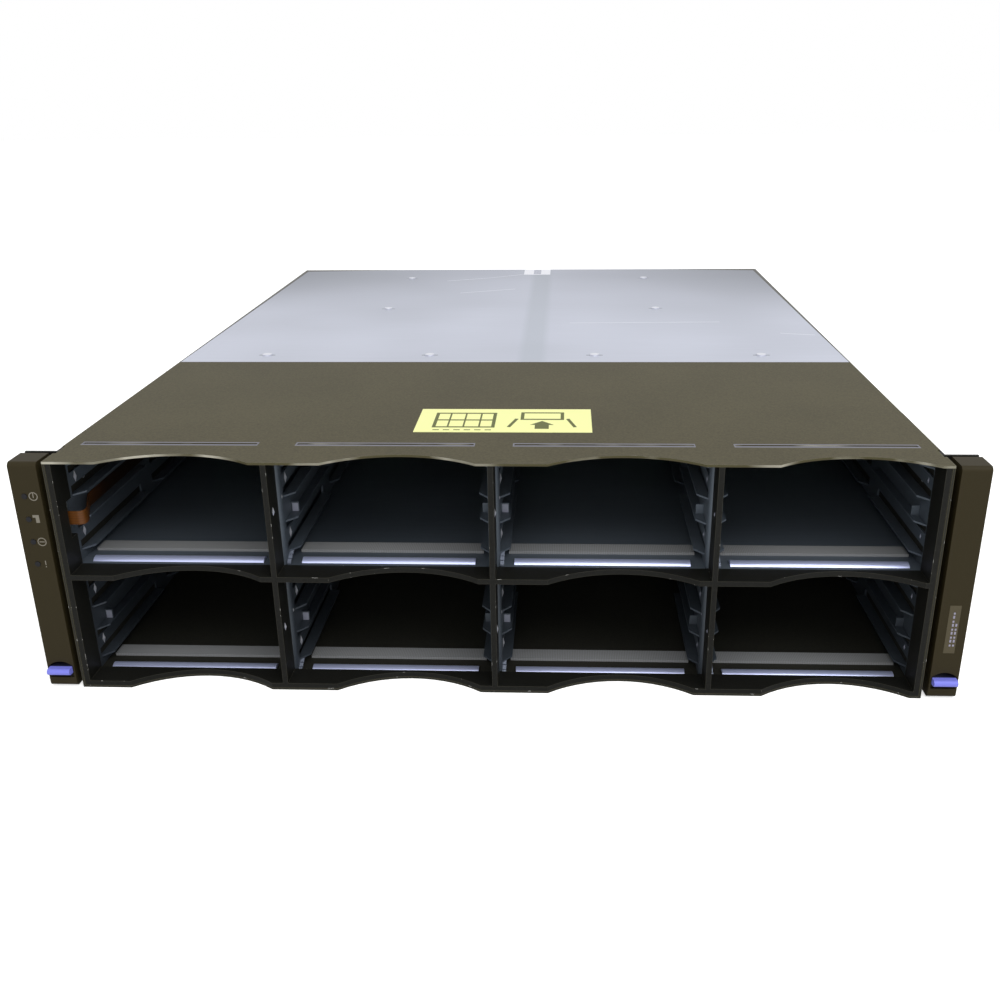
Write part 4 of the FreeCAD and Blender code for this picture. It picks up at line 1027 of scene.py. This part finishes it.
def makeCapSymbols():
    d = capSymbols
    u, radius, line = -d["line"], d["radius"], d["stroke"]
    first, second, third, fourth = lampHeights()
    # a ring with an upright bar, for power
    marks = ringBars(u, first, radius, line)
    marks.append(bar(u - line / 2, first - radius / 3, u + line / 2, first + radius * 0.8))
    # a block with a step, for a drive
    marks.append(bar(u - radius * 0.4, second - radius * 0.8, u + radius * 0.4, second + radius * 0.4))
    marks.append(bar(u - radius, second + radius * 0.4, u + radius * 0.4, second + radius))
    # a ring with a level bar
    marks += ringBars(u, third, radius, line)
    marks.append(bar(u - radius * 0.6, third - line / 2, u + radius * 0.6, third + line / 2))
    # a short bar over a dot, for a fault
    marks.append(bar(u - line, fourth - radius * 0.2, u, fourth + radius * 0.8))
    marks.append(bar(u - line, fourth - radius * 0.8, u, fourth - radius * 0.5))
    addPiece("cap_symbols", onFront(marks, frontFace, d["ink"]), "paleInk", "cap_left")


# the strip label low on the right cap, with two columns of blank dashes, every other one longer
capLabel = {
    "left": 231.2 * mm,
    "right": 236.9 * mm,
    "low": 27.3 * mm,
    "high": 54.7 * mm,
    "film": 0.1 * mm,
    "ink": 0.06 * mm,
    "columns": (9, 6),
    "columnStart": 2.3 * mm,
    "columnPitch": 1.7 * mm,
    "dashStart": 4 * mm,
    "dashPitch": 2.3 * mm,
    "dashWidth": 0.9 * mm,
    "dashShort": 1.1 * mm,
    "dashExtra": 0.5 * mm,
}


def makeCapLabel():
    d = capLabel
    strip = onFront([bar(d["left"], d["low"], d["right"], d["high"])], frontFace, d["film"])
    addPiece("cap_strip_label", strip, "strip", "cap_right")
    dashes = []
    for column, count in enumerate(d["columns"]):
        u = d["left"] + d["columnStart"] + d["columnPitch"] * column
        for n in range(count):
            v = d["low"] + d["dashStart"] + d["dashPitch"] * n
            dashes.append(bar(u, v, u + d["dashWidth"], v + d["dashShort"] + d["dashExtra"] * (n % 2)))
    ink = onFront(dashes, frontFace - d["film"], d["ink"])
    addPiece("cap_strip_print", ink, "lilacInk", "cap_right")


# the bay walls, as far as the small details on them need: how far their faces and the posts' faces stand
# from each partition's middle, and from the chassis wall's outside
bayWalls = {
    "partitionHalf": 3 * mm,
    "postHalf": 1.4 * mm,
    "linerSheet": 1 * mm,
    "frameWall": 2.8 * mm,
}


def wallFaces():
    # for each wall face: its x, the x of the post before it, the way it looks along X, its row, whether outer
    d = bayWalls
    faces = []
    for row in bayFloors:
        for line in partitionLines:
            for side in (-1, 1):
                wall, post = line + d["partitionHalf"] * side, line + d["postHalf"] * side
                faces.append((wall, post, side, row, False))
        for name, side in (("left", 1), ("right", -1)):
            low, high = span(f"side_liner_{name}")
            outside = low.x if side > 0 else high.x
            wall, post = outside + d["linerSheet"] * side, outside + d["frameWall"] * side
            faces.append((wall, post, side, row, True))
    return faces


# pointed dimples pressed into the bay walls, a small dot between them and a contact on each post, in finishes
# brighter than the sheet as painted highlight; each place is a setback from the front and a rise from the bay
# floor
wallDimples = {
    "dimples": ((27 * mm, 14 * mm), (27 * mm, 45 * mm)),
    "dot": (17.8 * mm, 37.7 * mm),
    "dotSize": 0.4,
    "postContact": (5.4 * mm, 34.4 * mm),
    "postContactSize": 0.8,
    "flatSize": 0.55,
    "length": 6.4 * mm,
    "width": 3.4 * mm,
    "rise": 0.9 * mm,
}


def pyramid(x, y, z, side, size):
    # a pointed dimple on a wall face that looks towards side along X
    d = wallDimples
    tall, wide, rise = d["length"] * size / 2, d["width"] * size / 2, d["rise"] * size
    vertices = [
        Vector((x, y, z - tall)),
        Vector((x, y + wide, z)),
        Vector((x, y, z + tall)),
        Vector((x, y - wide, z)),
        Vector((x + rise * side, y, z)),
    ]
    faces = [[i, (i + 1) % 4, 4] for i in range(4)] + [[3, 2, 1, 0]]
    return vertices, faces if side > 0 else [face[::-1] for face in faces]


def makeWallDimples():
    d = wallDimples
    bright, dull = [], []
    for wall, post, side, row, outer in wallFaces():
        places = [(wall, *place, 1.0) for place in d["dimples"]] + [(wall, *d["dot"], d["dotSize"])]
        if not outer:
            places.append((post, *d["postContact"], d["postContactSize"]))
        for x, setback, rise, size in places:
            y, z = frontFace + setback, bayFloors[row] + rise
            # the faces that look left were pressed from behind, so their dimples are flatter, and they get
            # the dimmer painted highlight
            if side > 0:
                bright.append(pyramid(x, y, z, side, size))
            else:
                dull.append(pyramid(x, y, z, side, size * d["flatSize"]))
    # painted highlight: plated grey on the walls that look right, towards the key lamp, and a duller light
    # grey on the others
    addPiece("wall_dimples_right", joinShapes(bright), "plated", "chassis")
    addPiece("wall_dimples_left", joinShapes(dull), "shearedEdgeAndHighlight", "chassis")


# painted highlight: thin light grey plates on the stop tabs' sheared faces, turned to the front, on the walls
# that look right; the ribbon passes over the upper one of the left wall, so it has none
tabHighlights = {
    "setback": 34 * mm,
    "rise": 25 * mm,
    "half": 2.6 * mm,
    "start": 0.4 * mm,
    "reach": 3.6 * mm,
    "skin": 0.1 * mm,
}


def makeTabHighlights():
    d = tabHighlights
    tabs = []
    for wall, post, side, row, outer in wallFaces():
        if side > 0 and not (outer and row == "upper"):
            middleHeight = bayFloors[row] + d["rise"]
            low, high = middleHeight - d["half"], middleHeight + d["half"]
            plate = bar(wall + d["start"], low, wall + d["reach"], high)
            tabs.append(onFront([plate], frontFace + d["setback"], d["skin"]))
    addPiece("stop_tab_highlights", joinShapes(tabs), "shearedEdgeAndHighlight", "chassis")


# a crimped spring clip in the left corner of each bay beside a partition, rising towards the rear
cornerClips = {
    "start": 15.5 * mm,
    "end": 24 * mm,
    "lift": 0.3 * mm,
    "climb": 3.9 * mm,
    "crimp": 0.8 * mm,
    "sheet": 0.8 * mm,
    "width": 2 * mm,
    "teeth": 3,
}


def clipShape(wall, side, floor):
    d = cornerClips
    steps = d["teeth"] * 2
    length = (d["end"] - d["start"]) / steps
    low, high = [], []
    for i in range(steps + 1):
        y = frontFace + d["start"] + length * i
        z = floor + d["lift"] + d["climb"] * i / steps + d["crimp"] * (i % 2)
        low.append((wall, y, z))
        high.append((wall, y, z + d["sheet"]))
    return prism(low + high[::-1], (d["width"] * side, 0, 0))


def makeCornerClips():
    clips = [
        clipShape(wall, side, bayFloors[row])
        for wall, post, side, row, outer in wallFaces()
        if side > 0 and not outer
    ]
    addPiece("corner_clips", joinShapes(clips), "clip", "chassis")


# pan-head screws with a round recess that hold each fan to its faceplate; the profile is the share of
# the radius and of the rise at each turn of the head, from its rim in
fanScrews = {
    "pitch": 71.5 * mm,
    "radius": 3.4 * mm,
    "rise": 1.6 * mm,
    "profile": [(1.0, 0), (1.0, 0.5), (0.8, 0.9), (0.45, 1.0), (0.3, 0.4)],
}


def turnedHead(centre, axis, profile, steps=24):
    # a solid of revolution about axis through centre; profile is (radius, rise) from the rim in
    across = Vector((1, 0, 0)) if abs(axis.x) < 0.5 else Vector((0, 1, 0))
    other = axis.cross(across)
    vertices, faces = [], []
    for radius, rise in profile:
        for i in range(steps):
            a = math.tau * i / steps
            vertices.append(centre + axis * rise + (across * math.cos(a) + other * math.sin(a)) * radius)
    for ring in range(len(profile) - 1):
        for i in range(steps):
            j = (i + 1) % steps
            a, b = ring * steps, (ring + 1) * steps
            faces.append([a + i, a + j, b + j, b + i])
    last = (len(profile) - 1) * steps
    faces += [list(reversed(range(steps))), [last + i for i in range(steps)]]
    return vertices, faces


def makeFanScrews():
    d = fanScrews
    profile = [(d["radius"] * radius, d["rise"] * rise) for radius, rise in d["profile"]]
    corners = [(u * d["pitch"], v * d["pitch"]) for u in (-0.5, 0.5) for v in (-0.5, 0.5)]
    rearward = Vector((0, 1, 0))
    for name in ("left", "right"):
        hub = middle(f"fan_rotor_{name}")
        heads = [
            turnedHead(Vector((hub.x + u, rearFace, hub.z + v)), rearward, profile) for u, v in corners
        ]
        addPiece(f"fan_screws_{name}", joinShapes(heads), "plated", f"supply_module_{name}")


makeBayLabel()
makeRearLabel()
makeCoverMarks()
makeCapSymbols()
makeCapLabel()
makeWallDimples()
makeTabHighlights()
makeCornerClips()
makeFanScrews()
print("small pieces made")

# a pale floor and a plain white room
studio = {"floor": "#f4f4f2", "floorRoughness": 0.9, "floorHalf": 6, "floorGlow": 0.55, "ambient": 0.55}

# three soft lamps aimed at the shelf's middle, in watts and metres
lampAim = (0, 0, 0.06)
lamps = {
    "key": {"place": (0.75, -1.15, 1.9), "power": 26, "size": 1.6},
    "fill": {"place": (-0.3, -1.5, 1.3), "power": 4, "size": 1.2},
    "front": {"place": (0.1, -1.9, 0.55), "power": 4, "size": 0.9},
}

# the camera stands before the shelf and above it, a little right of its middle; its angles are in degrees
camera = {
    "place": (0.0360, -0.7621, 0.3013),
    "heading": -2.606,
    "tilt": -21.723,
    "roll": -0.623,
    "lens": 37.47,
    "sensor": 36,
    "shiftX": -0.0198,
    "shiftY": -0.0012,
    "nearest": 0.05,
    "farthest": 50,
}


def makeFloor():
    material, tree, shader = newMaterial("studio floor, pale", studio["floor"], studio["floorRoughness"])
    half = studio["floorHalf"]
    mesh = bpy.data.meshes.new("studio_floor")
    mesh.from_pydata([(u, v, 0) for u, v in bar(-half, -half, half, half)], [], [[0, 1, 2, 3]])
    mesh.materials.append(material)
    floor = bpy.data.objects.new("studio_floor", mesh)
    bpy.context.scene.collection.objects.link(floor)
    # the floor shows a little brighter than it lights, so that it reads as white paper
    path = addNode(tree, "ShaderNodeLightPath")
    glow = addNode(
        tree,
        "ShaderNodeMath",
        {"operation": "MULTIPLY", 1: studio["floorGlow"]},
        {0: path.outputs["Is Camera Ray"]},
    )
    shader.inputs["Emission Color"].default_value = (1, 1, 1, 1)
    tree.links.new(glow.outputs[0], shader.inputs["Emission Strength"])


def makeWorld():
    world = bpy.data.worlds.new("studio")
    bpy.context.scene.world = world
    world.use_nodes = True
    tree = world.node_tree
    sky = tree.nodes["Background"]
    sky.inputs["Color"].default_value = (1, 1, 1, 1)
    # the room is full white where it is seen, directly, mirrored or through, and dimmer as a light
    path = addNode(tree, "ShaderNodeLightPath")
    seen = addNode(
        tree,
        "ShaderNodeMath",
        {"operation": "MAXIMUM"},
        {0: path.outputs["Is Camera Ray"], 1: path.outputs["Is Glossy Ray"]},
    )
    shown = addNode(
        tree,
        "ShaderNodeMath",
        {"operation": "MAXIMUM"},
        {0: seen.outputs[0], 1: path.outputs["Is Transmission Ray"]},
    )
    level = addNode(
        tree, "ShaderNodeMapRange", {"To Min": studio["ambient"], "To Max": 1.0}, {"Value": shown.outputs[0]}
    )
    tree.links.new(level.outputs["Result"], sky.inputs["Strength"])


def addLamp(name, place, power, size):
    lamp = bpy.data.lights.new(name, "AREA")
    lamp.energy = power
    lamp.size = size
    holder = bpy.data.objects.new(name, lamp)
    bpy.context.scene.collection.objects.link(holder)
    holder.location = place
    aim = Vector(lampAim) - Vector(place)
    holder.rotation_mode = "QUATERNION"
    holder.rotation_quaternion = aim.to_track_quat("-Z", "Y")


def makeCamera():
    lens = bpy.data.cameras.new("camera")
    lens.sensor_width = camera["sensor"]
    lens.lens = camera["lens"]
    lens.shift_x = camera["shiftX"]
    lens.shift_y = camera["shiftY"]
    lens.clip_start, lens.clip_end = camera["nearest"], camera["farthest"]
    holder = bpy.data.objects.new("camera", lens)
    bpy.context.scene.collection.objects.link(holder)
    turn = (
        Matrix.Rotation(math.radians(-camera["heading"]), 3, "Z")
        @ Matrix.Rotation(math.radians(90 + camera["tilt"]), 3, "X")
        @ Matrix.Rotation(math.radians(camera["roll"]), 3, "Z")
    )
    holder.matrix_world = Matrix.Translation(camera["place"]) @ turn.to_4x4()
    bpy.context.scene.camera = holder


makeFloor()
makeWorld()
for name, lamp in lamps.items():
    addLamp(name, lamp["place"], lamp["power"], lamp["size"])
makeCamera()
bpy.context.scene.view_settings.view_transform = "Standard"
print("floor, light and camera made")
